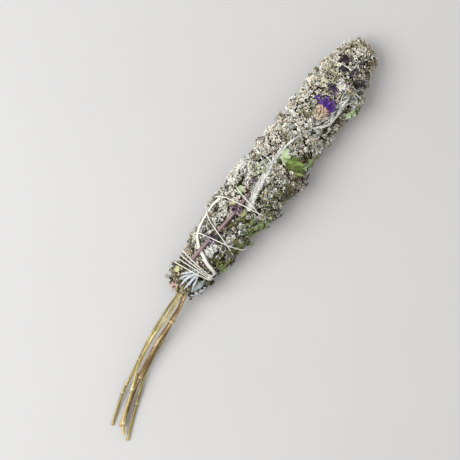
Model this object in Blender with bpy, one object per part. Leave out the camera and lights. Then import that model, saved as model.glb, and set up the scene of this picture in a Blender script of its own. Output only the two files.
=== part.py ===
"""Basil smudge stick: dried flower sprays bound round four long stems with one thread.

The stick lies along +Y, cut stems at -Y and tip at +Y, with +Z up and z = 0 under its belly.
Lengths below are millimetres, and the meshes are made in metres. 'Along' is the distance from
the foot of the head towards the tip, 'across' the distance from the stick's line towards +X,
and 'turn' the angle round the head's own axis, zero on top and positive towards +X.
"""

import math
import random

import bmesh
import bpy
import numpy as np
from mathutils import Vector
from mathutils.bvhtree import BVHTree

MM = 0.001
NAME = "basil_smudge_stick"

# The head: along, across of its axis, and half of its width without the florets
HEAD = (
    (0, -0.8, 8.9),
    (4, -1.0, 10.3),
    (11, -0.6, 12.2),
    (25, -0.9, 12.8),
    (40, -1.3, 14.6),
    (54, -1.7, 16.3),
    (69, -1.1, 18.3),
    (84, 0.0, 19.2),
    (98, 0.1, 20.3),
    (112, 0.8, 18.5),
    (128, 0.5, 17.1),
    (141, 0.3, 17.5),
    (156, 1.5, 17.6),
    (168, 1.0, 18.5),
    (181, 0.3, 15.2),
    (194, 0.5, 13.2),
    (201, 0.4, 10.6),
    (205, -0.8, 7.0),
    (207.5, -2.2, 3.0),
)
FLATNESS = 0.84  # height of the head's section over its width
AXIS_HEIGHT = 14.2  # at the middle of the head
AXIS_DROP = 1.9  # how much lower the axis is at the head's ends
HEAD_MIDDLE = 100.0

# The channel inside the head that the stems run in
CHANNEL = 4.7
CHANNEL_TAPER = (120.0, 200.0, 1.2)
CHANNEL_FOOT = (2.0, 12.4)
CHANNEL_STRAIGHT = 50.0

# Florets, larger than life on these solids
FLORET_CELL = 2.65
FLORET_RISE = 1.45
FLORET_RISE_SHARES = (0.75, 1.2)
FLORET_SLIP = 0.22  # how far a floret strays from its place, in cells
FLORET_MEAN_RISE = 0.8
UNDER_CELL = 3.5  # on the underside
UNDER_FROM = -0.35  # cosine of the turn past which a spray is one of the underside's
LOBE_RISE = 0.7
LOBE_LENGTH = 3.0  # along the head, for one radian of a lobe
LOBES_ROUND = 4.0
SHOULDER = 2.9  # how far a spray's edge falls below its middle
SHOULDER_OF_WALL = 0.4  # the most that it falls, as a share of the wall under it
SHOULDER_POWERS = (4.0, 4.5)  # how sharp it is, at a spray's sides and at its ends
SHOULDER_AT_CORNER = 1.25
SEAM = 0.36  # half of the gap between sprays side by side
TIER_SEAM = 0.62  # half of the gap between tiers
LEAST_WALL = 1.3  # from the channel to a spray's lowest skin
INNER_STEPS = 3  # flat pieces of a spray's wall along the channel
SLANT = 0.45  # how far the sprays lean towards the tip, per millimetre of depth

# How the seams between sprays wander: by how much, over what length along the head
SEAM_WAVE = (0.2, 17.0)
SEAM_RIPPLE = (0.06, 6.3)
TIER_WAVE = (2.2, 30.0)
SEAMS_STRAIGHT = 12.0  # at the head's ends

# Columns of sprays round the head, the first on top: where one spray ends and the next begins
COLUMN_SEAMS = (
    (38, 71, 106, 143, 178),
    (26, 60, 95, 130, 166),
    (34, 76, 118, 162),
    (45, 90, 130, 172),
    (31, 66, 100, 136, 171),
)
HEAD_TIP = 207.5

# Stems: along, across and height outside the head, after the run inside it
STEMS = {
    "stem_a": dict(
        radius=0.9,
        top=45.0,
        seat=(-2.2, -1.2),
        colour=(0.36, 0.31, 0.12),
        route=(
            (-16.5, 0.4, 11.3),
            (-40.3, 3.0, 8.7),
            (-64.0, 7.8, 5.6),
            (-77.9, 10.4, 3.6),
            (-90.5, 14.4, 2.0),
            (-101.4, 18.3, 0.95),
        ),
        knots=(-53.5, -72.6, -78.5),
    ),
    "stem_b": dict(
        radius=1.1,
        top=80.0,
        seat=(-0.6, 2.2),
        colour=(0.50, 0.43, 0.19),
        route=(
            (-17.0, 3.3, 13.9),
            (-34.3, 3.9, 12.2),
            (-50.8, 6.5, 10.6),
            (-60.1, 9.0, 9.6),
            (-71.9, 14.3, 8.2),
            (-86.5, 19.5, 6.4),
            (-94.4, 23.4, 5.2),
            (-101.0, 28.2, 4.0),
        ),
        knots=(-71.9, -94.4),
    ),
    "stem_c": dict(
        radius=1.55,
        top=118.0,
        seat=(1.9, 0.2),
        colour=(0.46, 0.29, 0.12),
        route=(
            (-8.0, 6.0, 12.9),
            (-19.8, 7.3, 11.8),
            (-40.3, 9.3, 9.4),
            (-62.7, 13.4, 6.2),
            (-71.9, 15.7, 4.9),
            (-86.0, 19.7, 2.9),
            (-98.3, 23.6, 1.6),
        ),
        knots=(-19.8, -62.7),
    ),
    "stem_d": dict(
        radius=1.0,
        top=30.0,
        seat=(0.9, -2.6),
        colour=(0.42, 0.35, 0.16),
        route=(
            (-8.0, 6.3, 9.6),
            (-20.5, 8.25, 8.6),
            (-34.3, 10.6, 7.4),
            (-48.2, 12.5, 5.7),
            (-60.1, 15.3, 4.0),
            (-72.3, 20.0, 2.5),
            (-79.2, 22.6, 1.8),
            (-90.4, 27.2, 1.3),
            (-103.3, 32.8, 1.05),
        ),
        knots=(-34.3, -79.2),
    ),
}

STEM_GUIDE_STEP = 14.0
STEM_STEP = 12.0
STEM_RINGS_OUTSIDE = 19
KNOT_LENGTH = 1.6
KNOT_SWELL = 0.28

# The thread: along at each winding position, in turns from the top of the head
THREAD = 0.35
BELLY_GROOVE = 1.6  # height of the belly's grooves that the thread runs in
ROUND_SAG = 0.012  # how far a taut step of the thread falls below a round path
STRAIGHT_SAG = 0.2  # how far a straight piece between two points dips below the round head
TAUT_PASSES = 60
THREAD_STEP = 1.2
THREAD_STRIDE = 5  # steps between two points of the thread
THREAD_WINDING = (
    # Four turns through the knot at the foot
    (-0.13, 18.4),
    (0.24, 13.6),
    (0.87, 19.2),
    (1.24, 17.2),
    (1.87, 20.0),
    (2.24, 20.4),
    (2.87, 20.8),
    (3.24, 24.6),
    # Up to the tip
    (4.0, 46.2),
    (4.5, 65.5),
    (5.0, 74.7),
    (5.5, 94.0),
    (6.0, 103.0),
    (6.5, 124.0),
    (7.0, 134.0),
    (7.5, 160.0),
    (8.0, 174.0),
    (8.5, 183.0),
    (9.0, 184.4),
    # Down again, across the strands that went up
    (9.5, 178.0),
    (10.0, 170.5),
    (10.5, 149.0),
    (11.0, 130.0),
    (11.5, 113.0),
    (12.0, 99.0),
    (12.5, 84.5),
    (13.0, 70.7),
    (13.5, 57.0),
    (14.0, 42.2),
    (14.5, 29.5),
    (14.87, 22.3),
)
THREAD_TOP_TURN = 9.1  # winding position where it starts down again
THREAD_KNOT = (20.2, math.radians(47.0))
THREAD_KNOT_SIZE = (1.5, 2.6, 1.2)

GAP = 0.32  # clear distance kept between touching pieces
CAST_FROM = 60.0  # from the head's axis, outside everything
CLOSE_SET = 24  # points on a stretch of a route, before they are spaced evenly
LOWEST = -4.0  # rise above the skin that nothing lies below
# How far to each side of a place a piece clears what it lies on
LEAF_PROBE = 0.9
SPRIG_PROBE = 0.7
SPIKE_PROBE = 1.5
THREAD_PROBE = 0.9
LEAF_THICKNESS = 0.75
LEAST_HALF_WIDTH = 0.45
WAVE_PER_ROW = 2.4  # phase of a waved leaf's edges, from row to row
WAVE_PER_HALF = 1.5  # and from its middle to its edge


def smoothstep(value):
    value = min(max(value, 0.0), 1.0)
    return value * value * (3 - 2 * value)


def spline_through(rows):
    """A function that gives a smooth curve's other columns at a value of the first column."""
    table = np.array(rows, float)
    order = np.argsort(table[:, 0])
    keys = table[order, 0]
    values = table[order, 1:]
    slopes = np.gradient(values, keys, axis=0)

    def at(key):
        key = min(max(key, keys[0]), keys[-1])
        i = min(int(np.searchsorted(keys, key, "right")) - 1, len(keys) - 2)
        span = keys[i + 1] - keys[i]
        f = (key - keys[i]) / span
        start = (1 + 2 * f) * (1 - f) ** 2 * values[i] + f * (1 - f) ** 2 * span * slopes[i]
        end = f * f * (3 - 2 * f) * values[i + 1] - f * f * (1 - f) * span * slopes[i + 1]
        return start + end

    return at


head_curve = spline_through(HEAD)


def head_at(along):
    """The head's section: across and height of its axis, half width and half height."""
    across, wide = head_curve(along)
    off_middle = (along - HEAD_MIDDLE) / HEAD_MIDDLE
    height = AXIS_HEIGHT - AXIS_DROP * off_middle**2
    return across, height, wide, wide * FLATNESS


def channel_at(along):
    """The channel's section: across and height of its middle, and its radius."""
    across, height, _, _ = head_at(along)
    f = smoothstep(along / CHANNEL_STRAIGHT)
    start, end, least = CHANNEL_TAPER
    taper = min(max((along - start) / (end - start), 0.0), 1.0)
    radius = CHANNEL + (least - CHANNEL) * taper
    return (
        CHANNEL_FOOT[0] + (across - CHANNEL_FOOT[0]) * f,
        CHANNEL_FOOT[1] + (height - CHANNEL_FOOT[1]) * f,
        radius,
    )


def channel_reach(along, turn):
    """How far the channel's wall is from the head's axis at turn."""
    axis, way, _ = outward(along, turn)
    across, height, radius = channel_at(along)
    return (Vector((across, along, height)) - axis).dot(way) + radius


def outward(along, turn):
    """The head's axis at along, the unit direction at turn, and the distance to the skin."""
    across, height, wide, high = head_at(along)
    x = wide * math.sin(turn)
    z = high * math.cos(turn)
    reach = math.hypot(x, z)
    return Vector((across, along, height)), Vector((x / reach, 0, z / reach)), reach


def on_skin(along, turn, rise=0.0):
    axis, way, reach = outward(along, turn)
    return axis + way * (reach + rise)


def turn_at(along, across):
    """The turn of the point of the upper skin that lies across from the stick's line."""
    middle, _, wide, _ = head_at(along)
    return math.asin(min(max((across - middle) / (wide + FLORET_MEAN_RISE), -0.99), 0.99))


def from_above(*points):
    """Skin positions of points given as along and across, as seen from above."""
    return [(along, turn_at(along, across)) for along, across in points]


def evenly(fine, step):
    """Evenly spaced skin positions, at least three, along close-set ones."""
    places = [on_skin(*p) for p in fine]
    run = [0.0]
    for a, b in zip(places, places[1:]):
        run.append(run[-1] + (b - a).length)
    count = max(int(round(run[-1] / step)), 2)
    goals = np.linspace(0, run[-1], count + 1)
    return [tuple(np.interp(g, run, [p[k] for p in fine]) for k in (0, 1)) for g in goals]


def resampled(route, step):
    """Evenly spaced positions on a smooth curve through skin positions."""
    curve = spline_through([(k, *p) for k, p in enumerate(route)])
    last = len(route) - 1
    return evenly([curve(k) for k in np.linspace(0, last, CLOSE_SET * last + 1)], step)


# Pieces that lie pressed into the head, as skin routes: along, turn
BASIL_SPIKE = from_above(
    (19.1, -6.4), (27.5, -5.8), (36.3, -5.3), (47, -4.3), (58.1, -3.4), (68, -3.0), (79.5, -2.6)
)
SPIKE_STEP = 2.9
WHORLS = (39.0, 64.0)
# A whorl's rings: along from its stalk ring, size of corners, how far the corners lean ahead
WHORL_RINGS = ((0.7, 2.9, 2.2), (1.0, 1.15, 0.0), (1.5, 2.4, 2.6), (1.8, 1.0, 0.0))
STALK_CORNER = 1.25
STALK_GROOVE = 0.86
STALK_HEIGHT = 1.1  # of its middle above what it lies on
SILVER_SPRIG = from_above(
    (70.2, 3.6),
    (79.9, 0.8),
    (87.1, -0.7),
    (95.0, -1.8),
    (103.4, -2.8),
    (110.9, -3.2),
    (117.5, -2.8),
    (124.7, -1.3),
    (133.3, 2.2),
    (138.6, 4.9),
    (142.6, 9.0),
    (147.5, 12.3),
    (153.8, 13.1),
    (162.0, 13.3),
    (172.3, 11.4),
)
# Its side leaves: place along it, side, reach sideways and reach ahead
SPRIG_LEAVES = (
    (0.30, -1, 8.0, 4.5),
    (0.42, 1, 6.0, 4.0),
    (0.50, -1, 8.5, 5.5),
    (0.60, 1, 7.0, 4.5),
    (0.66, 1, 8.0, 6.0),
    (0.80, -1, 7.0, 7.5),
    (0.86, -1, 4.0, 7.5),
    (0.92, 1, 4.0, 6.5),
)
SPRIG_STEP = 3.4
SPRIG_LEAF_STEP = 2.6
SPRIG_LEAF_RADIUS = (0.55, 0.35)
STRIP_HALF = 1.15
SILVER_STRIP = [
    (23.4, math.radians(74)),
    *from_above((25.1, 8.1), (26.4, 3.0), (29.0, -2.1), (31.7, -7.9)),
    (37.4, math.radians(-57)),
    (44.0, math.radians(-67)),
    (51.0, math.radians(-68)),
    (58.5, math.radians(-66)),
    (66.0, math.radians(-56)),
]
BLOOM = from_above((149.0, 3.0))[0]
TIP_LEAF = [(157.5, 1.14), (166, 1.27), (176, 1.2)]
NARROW_LEAF = [(113.5, 0.95), (120, 1.12), (129, 1.20)]
BASE_LEAF = from_above((5.0, 6.3), (11, 8.4), (17, 8.9))
BASE_FRILL = [(3.5, 1.10), (8.5, 1.15), (14.0, 1.12)]
CUT_LEAF = from_above((20.6, 2.0), (14.5, 1.0), (9.0, -1.4), (2.8, -3.4))
PALE_LEAF = from_above((75.0, -9.0), (81.0, -10.0))
BRACTS = [
    from_above((65.0, -7.4), (70.2, -7.0)),
    from_above((64.2, 0.6), (69.8, 1.9)),
    from_above((9.4, -10.2), (14.0, -10.6)),
]
CENTRE_LEAF = from_above((112.0, 0.2), (111.5, 5.5), (112.8, 11.0), (110.5, 15.5), (108.4, 18.3))
EDGE_LEAF_HALVES = (2.6, 3.0, 3.2, 2.6)  # half widths
EDGE_LEAVES = [
    [(28.5, 1.20), (35.2, 1.36), (42.0, 1.42)],
    [(43.5, 1.38), (49.2, 1.35), (55.0, 1.22)],
    [(56.5, 1.18), (62.8, 1.35), (69.0, 1.42)],
    [(71.0, 1.44), (76.0, 1.40), (81.0, 1.28)],
]
LEAF_BEDS = [
    (TIP_LEAF, 2.4),
    (NARROW_LEAF, 2.0),
    (BASE_LEAF, 2.0),
    (BASE_FRILL, 2.0),
    (CUT_LEAF, 5.0),
    (PALE_LEAF, 2.2),
    *((bract, 1.8) for bract in BRACTS),
    (CENTRE_LEAF, 3.6),
    *((leaf, 2.4) for leaf in EDGE_LEAVES),
]

CUP_LENGTH = 10.0
CUP_ROWS = 7
BLOOM_TILT = 1.42  # from straight out of the skin to along the head
BLOOM_LIFT = 0.8
BLOOM_GAP = 0.47
# Rings of the blooms: place on the axis, radius of points and of notches, how far notches lie back
TUFT_RINGS = (
    (0.0, 2.0, 2.0, 0.0),
    (2.0, 3.3, 3.0, 0.2),
    (7.8, 6.2, 3.5, 3.6),
    (3.6, 2.6, 2.4, 0.0),
    (8.6, 3.4, 2.0, 3.8),
    (5.0, 1.2, 1.1, 0.2),
    (8.8, 0.9, 0.5, 1.0),
)
ROSETTE = (
    (-1.0, 1.2, 1.2, 0.0),
    (0.6, 3.4, 1.3, 0.3),
    (1.1, 1.3, 1.0, 0.0),
    (2.2, 2.3, 0.9, 0.5),
    (1.9, 0.7, 0.6, 0.0),
)
VIOLET_BLOOM = from_above((167.0, -1.6))[0]
LAVENDER_BLOOM = (172.0, 0.78)
PLUM_PETALS = (*from_above((188.5, -6.0), (178.5, 9.5)), (106.0, 1.28))

PRESS_FADE = 1.9
PRESSED = []  # skin positions, radius and depth of each place that is pressed in


def press(route, radius, depth, step=2.0):
    for place in resampled(route, step):
        PRESSED.append((*on_skin(*place), radius, depth))


def winding(step):
    """Skin positions along the thread."""
    at = spline_through(THREAD_WINDING)
    first, last = THREAD_WINDING[0][0], THREAD_WINDING[-1][0]
    turns = np.linspace(first, last, int(160 * (last - first)))
    return evenly([(float(at(w)[0]), -w * math.tau) for w in turns], step)


def press_all():
    press(BASIL_SPIKE, radius=1.8, depth=1.3)
    for whorl in WHORLS:
        turn = spline_through(BASIL_SPIKE)(whorl)[0]
        press([(whorl, turn), (whorl + 3.0, turn)], radius=4.4, depth=1.3)
    press(SILVER_SPRIG, radius=2.0, depth=1.5)
    press(SILVER_STRIP, radius=1.9, depth=1.3)
    along, turn = BLOOM
    press([(along - 4.0, turn), (along + 10.0, turn)], radius=5.6, depth=4.4)
    for place in winding(2.5):
        PRESSED.append((*on_skin(*place), 0.8, 1.1))
    for route, radius in LEAF_BEDS:
        press(route, radius, depth=0.7)


def pressed_at(point, places):
    """How far the skin is pressed in at a point, and how much of its florets' rise is left."""
    away = np.linalg.norm(places[:, :3] - np.array(point), axis=1) - places[:, 3]
    share = np.clip(1 - away / PRESS_FADE, 0, 1)
    depth = float(np.max(share * places[:, 4]))
    return depth, 1 - float(np.max(share))


# Materials and objects

COLLECTION = bpy.data.collections.new(NAME)
MADE = []
SOLID = {"points": [], "faces": []}


def material(name, colour, roughness=0.85):
    made = bpy.data.materials.get(name)
    if made is None:
        made = bpy.data.materials.new(name)
        made.use_nodes = True
        shader = made.node_tree.nodes["Principled BSDF"]
        shader.inputs["Base Color"].default_value = (*colour, 1)
        shader.inputs["Roughness"].default_value = roughness
        shader.inputs["Metallic"].default_value = 0.0
    return made


def finish_object(name, bm, finish):
    """Makes an object from a closed mesh in millimetres, and adds it to what others lie on."""
    bmesh.ops.remove_doubles(bm, verts=bm.verts, dist=0.001)
    bmesh.ops.triangulate(bm, faces=bm.faces)
    bmesh.ops.recalc_face_normals(bm, faces=bm.faces)
    if bm.calc_volume(signed=True) < 0:
        bmesh.ops.reverse_faces(bm, faces=bm.faces)
    bm.verts.index_update()
    first = len(SOLID["points"])
    SOLID["points"] += [v.co.copy() for v in bm.verts]
    SOLID["faces"] += [[v.index + first for v in f.verts] for f in bm.faces]
    mesh = bpy.data.meshes.new(name)
    bm.to_mesh(mesh)
    bm.free()
    mesh.materials.append(finish)
    made = bpy.data.objects.new(name, mesh)
    COLLECTION.objects.link(made)
    MADE.append(made)
    return made


def solid_tree():
    return BVHTree.FromPolygons(SOLID["points"], SOLID["faces"])


def height_over(tree, along, turn, spread):
    """The rise above the skin of the outermost solid within spread of a skin position."""
    _, _, reach = outward(along, turn)
    best = LOWEST
    for off_along in (-spread, 0.0, spread):
        for off_turn in (-spread, 0.0, spread):
            there = along + off_along
            axis, way, skin = outward(there, turn + off_turn / reach)
            hit = tree.ray_cast(axis + way * CAST_FROM, -way)
            if hit[0] is not None:
                best = max(best, (hit[0] - axis).length - skin)
    return best


def upper_envelope(values, width):
    """The values raised so that none within width of a place stands above it, then smoothed."""
    raised = [max(values[max(0, i - width) : i + width + 1]) for i in range(len(values))]
    smooth = []
    for i, value in enumerate(raised):
        near = raised[max(0, i - 1) : i + 2]
        smooth.append(max(value, sum(near) / len(near)))
    return smooth


def loft(rings):
    """A closed mesh through rings of equal length."""
    bm = bmesh.new()
    made = [[bm.verts.new(p) for p in ring] for ring in rings]
    count = len(rings[0])
    for a, b in zip(made, made[1:]):
        for i in range(count):
            j = (i + 1) % count
            bm.faces.new((a[i], a[j], b[j]))
            bm.faces.new((a[i], b[j], b[i]))
    bm.faces.new(list(reversed(made[0])))
    bm.faces.new(made[-1])
    return bm


def tube_mesh(points, radii, sides_step):
    """A closed tube along points in millimetres, from a bevelled curve with welded caps."""
    curve = bpy.data.curves.new("route", "CURVE")
    curve.dimensions = "3D"
    curve.bevel_depth = 1.0
    curve.bevel_resolution = sides_step
    curve.use_fill_caps = True
    line = curve.splines.new("POLY")
    line.points.add(len(points) - 1)
    for i, point in enumerate(points):
        line.points[i].co = (*point, 1)
        line.points[i].radius = radii[i]
    guide = bpy.data.objects.new("route", curve)
    bpy.context.scene.collection.objects.link(guide)
    bpy.context.view_layer.update()
    seen = guide.evaluated_get(bpy.context.evaluated_depsgraph_get())
    mesh = bpy.data.meshes.new_from_object(seen)
    bm = bmesh.new()
    bm.from_mesh(mesh)
    bmesh.ops.remove_doubles(bm, verts=bm.verts, dist=0.0001)
    bpy.data.meshes.remove(mesh)
    bpy.data.objects.remove(guide)
    bpy.data.curves.remove(curve)
    return bm


def united(meshes):
    """One closed mesh from closed meshes that cross, joined by one union on a collection."""
    group = bpy.data.collections.new("union")
    bpy.context.scene.collection.children.link(group)
    parts = []
    for bm in meshes:
        bmesh.ops.triangulate(bm, faces=bm.faces)
        bmesh.ops.recalc_face_normals(bm, faces=bm.faces)
        mesh = bpy.data.meshes.new("part")
        bm.to_mesh(mesh)
        bm.free()
        parts.append(bpy.data.objects.new("part", mesh))
    first = parts[0]
    bpy.context.scene.collection.objects.link(first)
    for part in parts[1:]:
        group.objects.link(part)
    union = first.modifiers.new("union", "BOOLEAN")
    union.operation = "UNION"
    union.operand_type = "COLLECTION"
    union.collection = group
    union.solver = "EXACT"
    bpy.context.view_layer.update()
    seen = first.evaluated_get(bpy.context.evaluated_depsgraph_get())
    mesh = bpy.data.meshes.new_from_object(seen)
    bm = bmesh.new()
    bm.from_mesh(mesh)
    bpy.data.meshes.remove(mesh)
    for part in parts:
        bpy.data.objects.remove(part)
    bpy.data.collections.remove(group)
    keep_largest(bm)
    return bm


def keep_largest(bm):
    """Deletes every loose scrap but the largest body."""
    bm.verts.ensure_lookup_table()
    seen = set()
    bodies = []
    for start in bm.verts:
        if start in seen:
            continue
        body = [start]
        seen.add(start)
        for v in body:
            for edge in v.link_edges:
                other = edge.other_vert(v)
                if other not in seen:
                    seen.add(other)
                    body.append(other)
        bodies.append(body)
    bodies.sort(key=len)
    for body in bodies[:-1]:
        bmesh.ops.delete(bm, geom=body, context="VERTS")


# Flower sprays


def warped(along, turn):
    """Bends the plain grid of sprays, so that their seams wander as grown sprays do."""
    wave, wave_length = SEAM_WAVE
    ripple, ripple_length = SEAM_RIPPLE
    tier, tier_length = TIER_WAVE
    round_by = wave * math.sin(along / wave_length)
    round_by += ripple * math.sin(along / ripple_length + 1.0)
    share = smoothstep(along / SEAMS_STRAIGHT) * smoothstep((HEAD_TIP - along) / SEAMS_STRAIGHT)
    along_by = tier * math.sin(2 * turn + along / tier_length) * share
    return along + along_by, turn + round_by


def skin_rise(along, turn, edge, floret, seed, places):
    """The rise of a spray's skin. Edge is 0 in its middle and 1 at its sides and ends."""
    _, _, skin = outward(along, turn)
    least = channel_reach(along, turn) + LEAST_WALL
    shoulder = min(SHOULDER, SHOULDER_OF_WALL * (skin - least))
    depth, left_over = pressed_at(on_skin(along, turn), places)
    lobes = LOBE_RISE * math.cos(along / LOBE_LENGTH + 2 * turn)
    lobes *= math.cos(LOBES_ROUND * turn + seed) * left_over * (1 - min(edge, 1))
    rise = lobes - shoulder * edge + floret * left_over * (1 - 0.5 * min(edge, 1))
    rise = min(rise, max(rise, 0) * left_over - depth)
    return max(rise, least - skin)


def wall_ring(along, left, right):
    """A spray's points along the channel's wall, from its right side to its left."""
    ring = []
    for j in range(INNER_STEPS, -1, -1):
        g = j / INNER_STEPS
        there, turn = warped(along, left + (right - left) * g)
        across, height, radius = channel_at(there)
        _, _, skin = outward(there, turn)
        turn += (0.5 - g) * 1.6 * SEAM / radius
        out = Vector((math.sin(turn), 0, math.cos(turn)))
        point = Vector((across, there, height)) + out * radius
        point.y -= SLANT * (skin - radius)
        ring.append(point)
    return ring


def spray(name, span, seed, finish, places, strands):
    """A domed cluster of florets between two tier ends and two turns, round the channel."""
    start, end, left, right = span
    draw = random.Random(seed)
    middle_turn = (left + right) / 2
    under = math.cos(middle_turn) < UNDER_FROM
    cell = UNDER_CELL if under else FLORET_CELL
    _, _, reach = outward((start + end) / 2, middle_turn)
    rows = max(int(round((end - start) / cell)), 4)
    columns = max(int(round((right - left) * reach / cell)), 5)
    at_sides, at_ends = SHOULDER_POWERS
    rings = []
    for i in range(rows + 1):
        f = i / rows
        level = start + TIER_SEAM + (end - start - 2 * TIER_SEAM) * f
        ring = []
        for j in range(columns + 1):
            g = j / columns
            shift = draw.uniform(-FLORET_SLIP, FLORET_SLIP) * cell
            slip = draw.uniform(-FLORET_SLIP, FLORET_SLIP) * cell
            lift = draw.uniform(*FLORET_RISE_SHARES) * FLORET_RISE
            inside = 0 < i < rows and 0 < j < columns
            there = level + shift * inside
            _, _, skin = outward(there, middle_turn)
            turn = left + SEAM / skin + (right - left - 2 * SEAM / skin) * g + slip * inside / skin
            along, turn = warped(there, turn)
            edge = abs(2 * g - 1) ** at_sides + abs(2 * f - 1) ** at_ends
            floret = lift if inside and (i + j) % 2 == 0 else 0.0
            edge = min(edge, SHOULDER_AT_CORNER)
            rise = skin_rise(along, turn, edge, floret, seed, places)
            point = on_skin(along, turn, rise)
            point.y += SLANT * rise
            near_thread = under and np.min(np.linalg.norm(strands - point, axis=1)) < UNDER_CELL
            point.z = max(point.z, BELLY_GROOVE if near_thread else 0.0)
            ring.append(point)
        rings.append(ring + wall_ring(level, left, right))
    finish_object(name, spray_mesh(rings, rows, columns), finish)


def spray_mesh(rings, rows, columns):
    """A closed mesh through a spray's rings, with each raised floret point in a diamond."""
    bm = bmesh.new()
    made = [[bm.verts.new(p) for p in ring] for ring in rings]
    total = len(rings[0])
    for i in range(rows):
        a, b = made[i], made[i + 1]
        for j in range(total):
            k = (j + 1) % total
            if j < columns and (i + j) % 2 == 0:
                bm.faces.new((a[j], a[k], b[j]))
                bm.faces.new((a[k], b[k], b[j]))
            else:
                bm.faces.new((a[j], a[k], b[k]))
                bm.faces.new((a[j], b[k], b[j]))
    for ring, order in ((made[0], -1), (made[-1], 1)):
        close_between(bm, ring[: columns + 1], ring[columns + 1 :][::-1], order)
    return bm


def close_between(bm, outer, inner, order):
    """Triangles between an outer and an inner row of points, from their first to their last."""
    i = j = 0
    while i < len(outer) - 1 or j < len(inner) - 1:
        ahead_outer = (i + 1) / (len(outer) - 1)
        ahead_inner = (j + 1) / (len(inner) - 1)
        if j == len(inner) - 1 or (i < len(outer) - 1 and ahead_outer <= ahead_inner):
            corners = (outer[i], outer[i + 1], inner[j])
            i += 1
        else:
            corners = (outer[i], inner[j + 1], inner[j])
            j += 1
        bm.faces.new(corners[::order])


OLIVE_ENDS = 20.0  # how near the head's ends the sprays are olive
SPRAY_COLOURS = {
    "olive": (0.36, 0.33, 0.20),
    "silver": (0.62, 0.60, 0.52),
    "beige": (0.52, 0.48, 0.38),
}


def sprays():
    places = np.array(PRESSED)
    strands = np.array([on_skin(*place) for place in winding(1.5)])
    number = 0
    width = math.tau / len(COLUMN_SEAMS)
    for k, seams in enumerate(COLUMN_SEAMS):
        left = width * (k - 0.5)
        for start, end in zip((0, *seams), (*seams, HEAD_TIP)):
            number += 1
            at_end = start < OLIVE_ENDS or end > HEAD_TIP - OLIVE_ENDS
            tone = "olive" if at_end else ("silver", "beige")[number % 2]
            finish = material(f"florets_{tone}", SPRAY_COLOURS[tone])
            span = (start, end, left, left + width)
            spray(f"spray_{number:02d}", span, number, finish, places, strands)


# Stems


def stem(name, spec):
    """A long cut stem: a run inside the channel, then its own route to the cut end."""
    top, ends = spec["top"], spec["route"][-1][0]
    seat_across, seat_height = spec["seat"]
    inside = []
    for along in stem_places(top, STEM_GUIDE_STEP):
        across, height, _ = channel_at(along)
        inside.append((along, across + seat_across, height + seat_height))
    curve = spline_through([*inside, *spec["route"]])
    places = {*stem_places(top, STEM_STEP), *np.linspace(0.0, ends, STEM_RINGS_OUTSIDE)}
    for knot in spec["knots"]:
        places |= {knot - KNOT_LENGTH, knot, knot + KNOT_LENGTH}
    points, radii = [], []
    for along in sorted(places, reverse=True):
        across, height = curve(along)
        swell = max(max(0.0, 1 - abs(along - knot) / KNOT_LENGTH) for knot in spec["knots"])
        points.append((across, along, height))
        radii.append(spec["radius"] * (1 + KNOT_SWELL * swell))
    finish_object(name, tube_mesh(points, radii, 1), material(name, spec["colour"], 0.6))


def stem_places(top, step):
    return np.linspace(top, 0.0, max(int(top / step), 2) + 1)


# Leaves, sprigs and strips


def beside(place, unit, forward, sideways):
    """The skin position that lies forward and sideways, in millimetres, of a place."""
    along, turn = place
    _, _, reach = outward(along, turn)
    round_by = unit[1] * forward + unit[0] * sideways
    return along + unit[0] * forward - unit[1] * sideways, turn + round_by / reach


def heading(a, b):
    """The unit direction on the skin from one position to the next: along, round."""
    _, _, reach = outward(*a)
    way = (b[0] - a[0], (b[1] - a[1]) * reach)
    length = math.hypot(*way)
    return way[0] / length, way[1] / length


def blade(
    name,
    finish,
    route,
    width,
    step=2.2,
    columns=3,
    thick=LEAF_THICKNESS,
    cup=0.0,
    teeth=0.0,
    wave=0.0,
    lobe_lean=0.0,
):
    """A leaf along a skin route. Width gives half its width at 0 to 1 along it.

    Cup and wave lift its edges, teeth widen every other row, and lobes that lean reach
    forward and keep each row level.
    """
    tree = solid_tree()
    rows = resampled(route, step)
    count = len(rows) - 1
    last = columns - 1
    grid, heights = [], []
    for i, place in enumerate(rows):
        _, _, reach = outward(*place)
        ahead, behind = rows[min(i + 1, count)], rows[max(i - 1, 0)]
        way = (ahead[0] - behind[0], (ahead[1] - behind[1]) * reach)
        length = math.hypot(*way)
        unit = (way[0] / length, way[1] / length)
        tooth = teeth if i % 2 else -teeth
        half = max(width(i / count) * (1 + tooth), LEAST_HALF_WIDTH)
        lean = lobe_lean if i % 2 else 0.0
        row = []
        for j in range(columns):
            v = 2 * j / last - 1
            row.append((*beside(place, unit, lean * abs(v), half * v), v))
        grid.append(row)
        heights.append([height_over(tree, a, t, max(LEAF_PROBE, step / 2)) for a, t, _ in row])
    under, over = [], []
    for i, row in enumerate(grid):
        low_row, high_row = [], []
        for j, (along, turn, v) in enumerate(row):
            beside_j = slice(None) if lobe_lean else slice(max(0, j - 1), j + 2)
            low = max(max(near[beside_j]) for near in heights[max(0, i - 1) : i + 2])
            low += GAP + cup * v * v
            low += wave * (1 + math.sin(WAVE_PER_ROW * i + WAVE_PER_HALF * v)) * abs(v)
            low_row.append(on_skin(along, turn, low))
            high_row.append(on_skin(along, turn, low + thick))
        under.append(low_row)
        over.append(high_row)
    finish_object(name, blade_mesh(under, over, count, last), finish)


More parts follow.
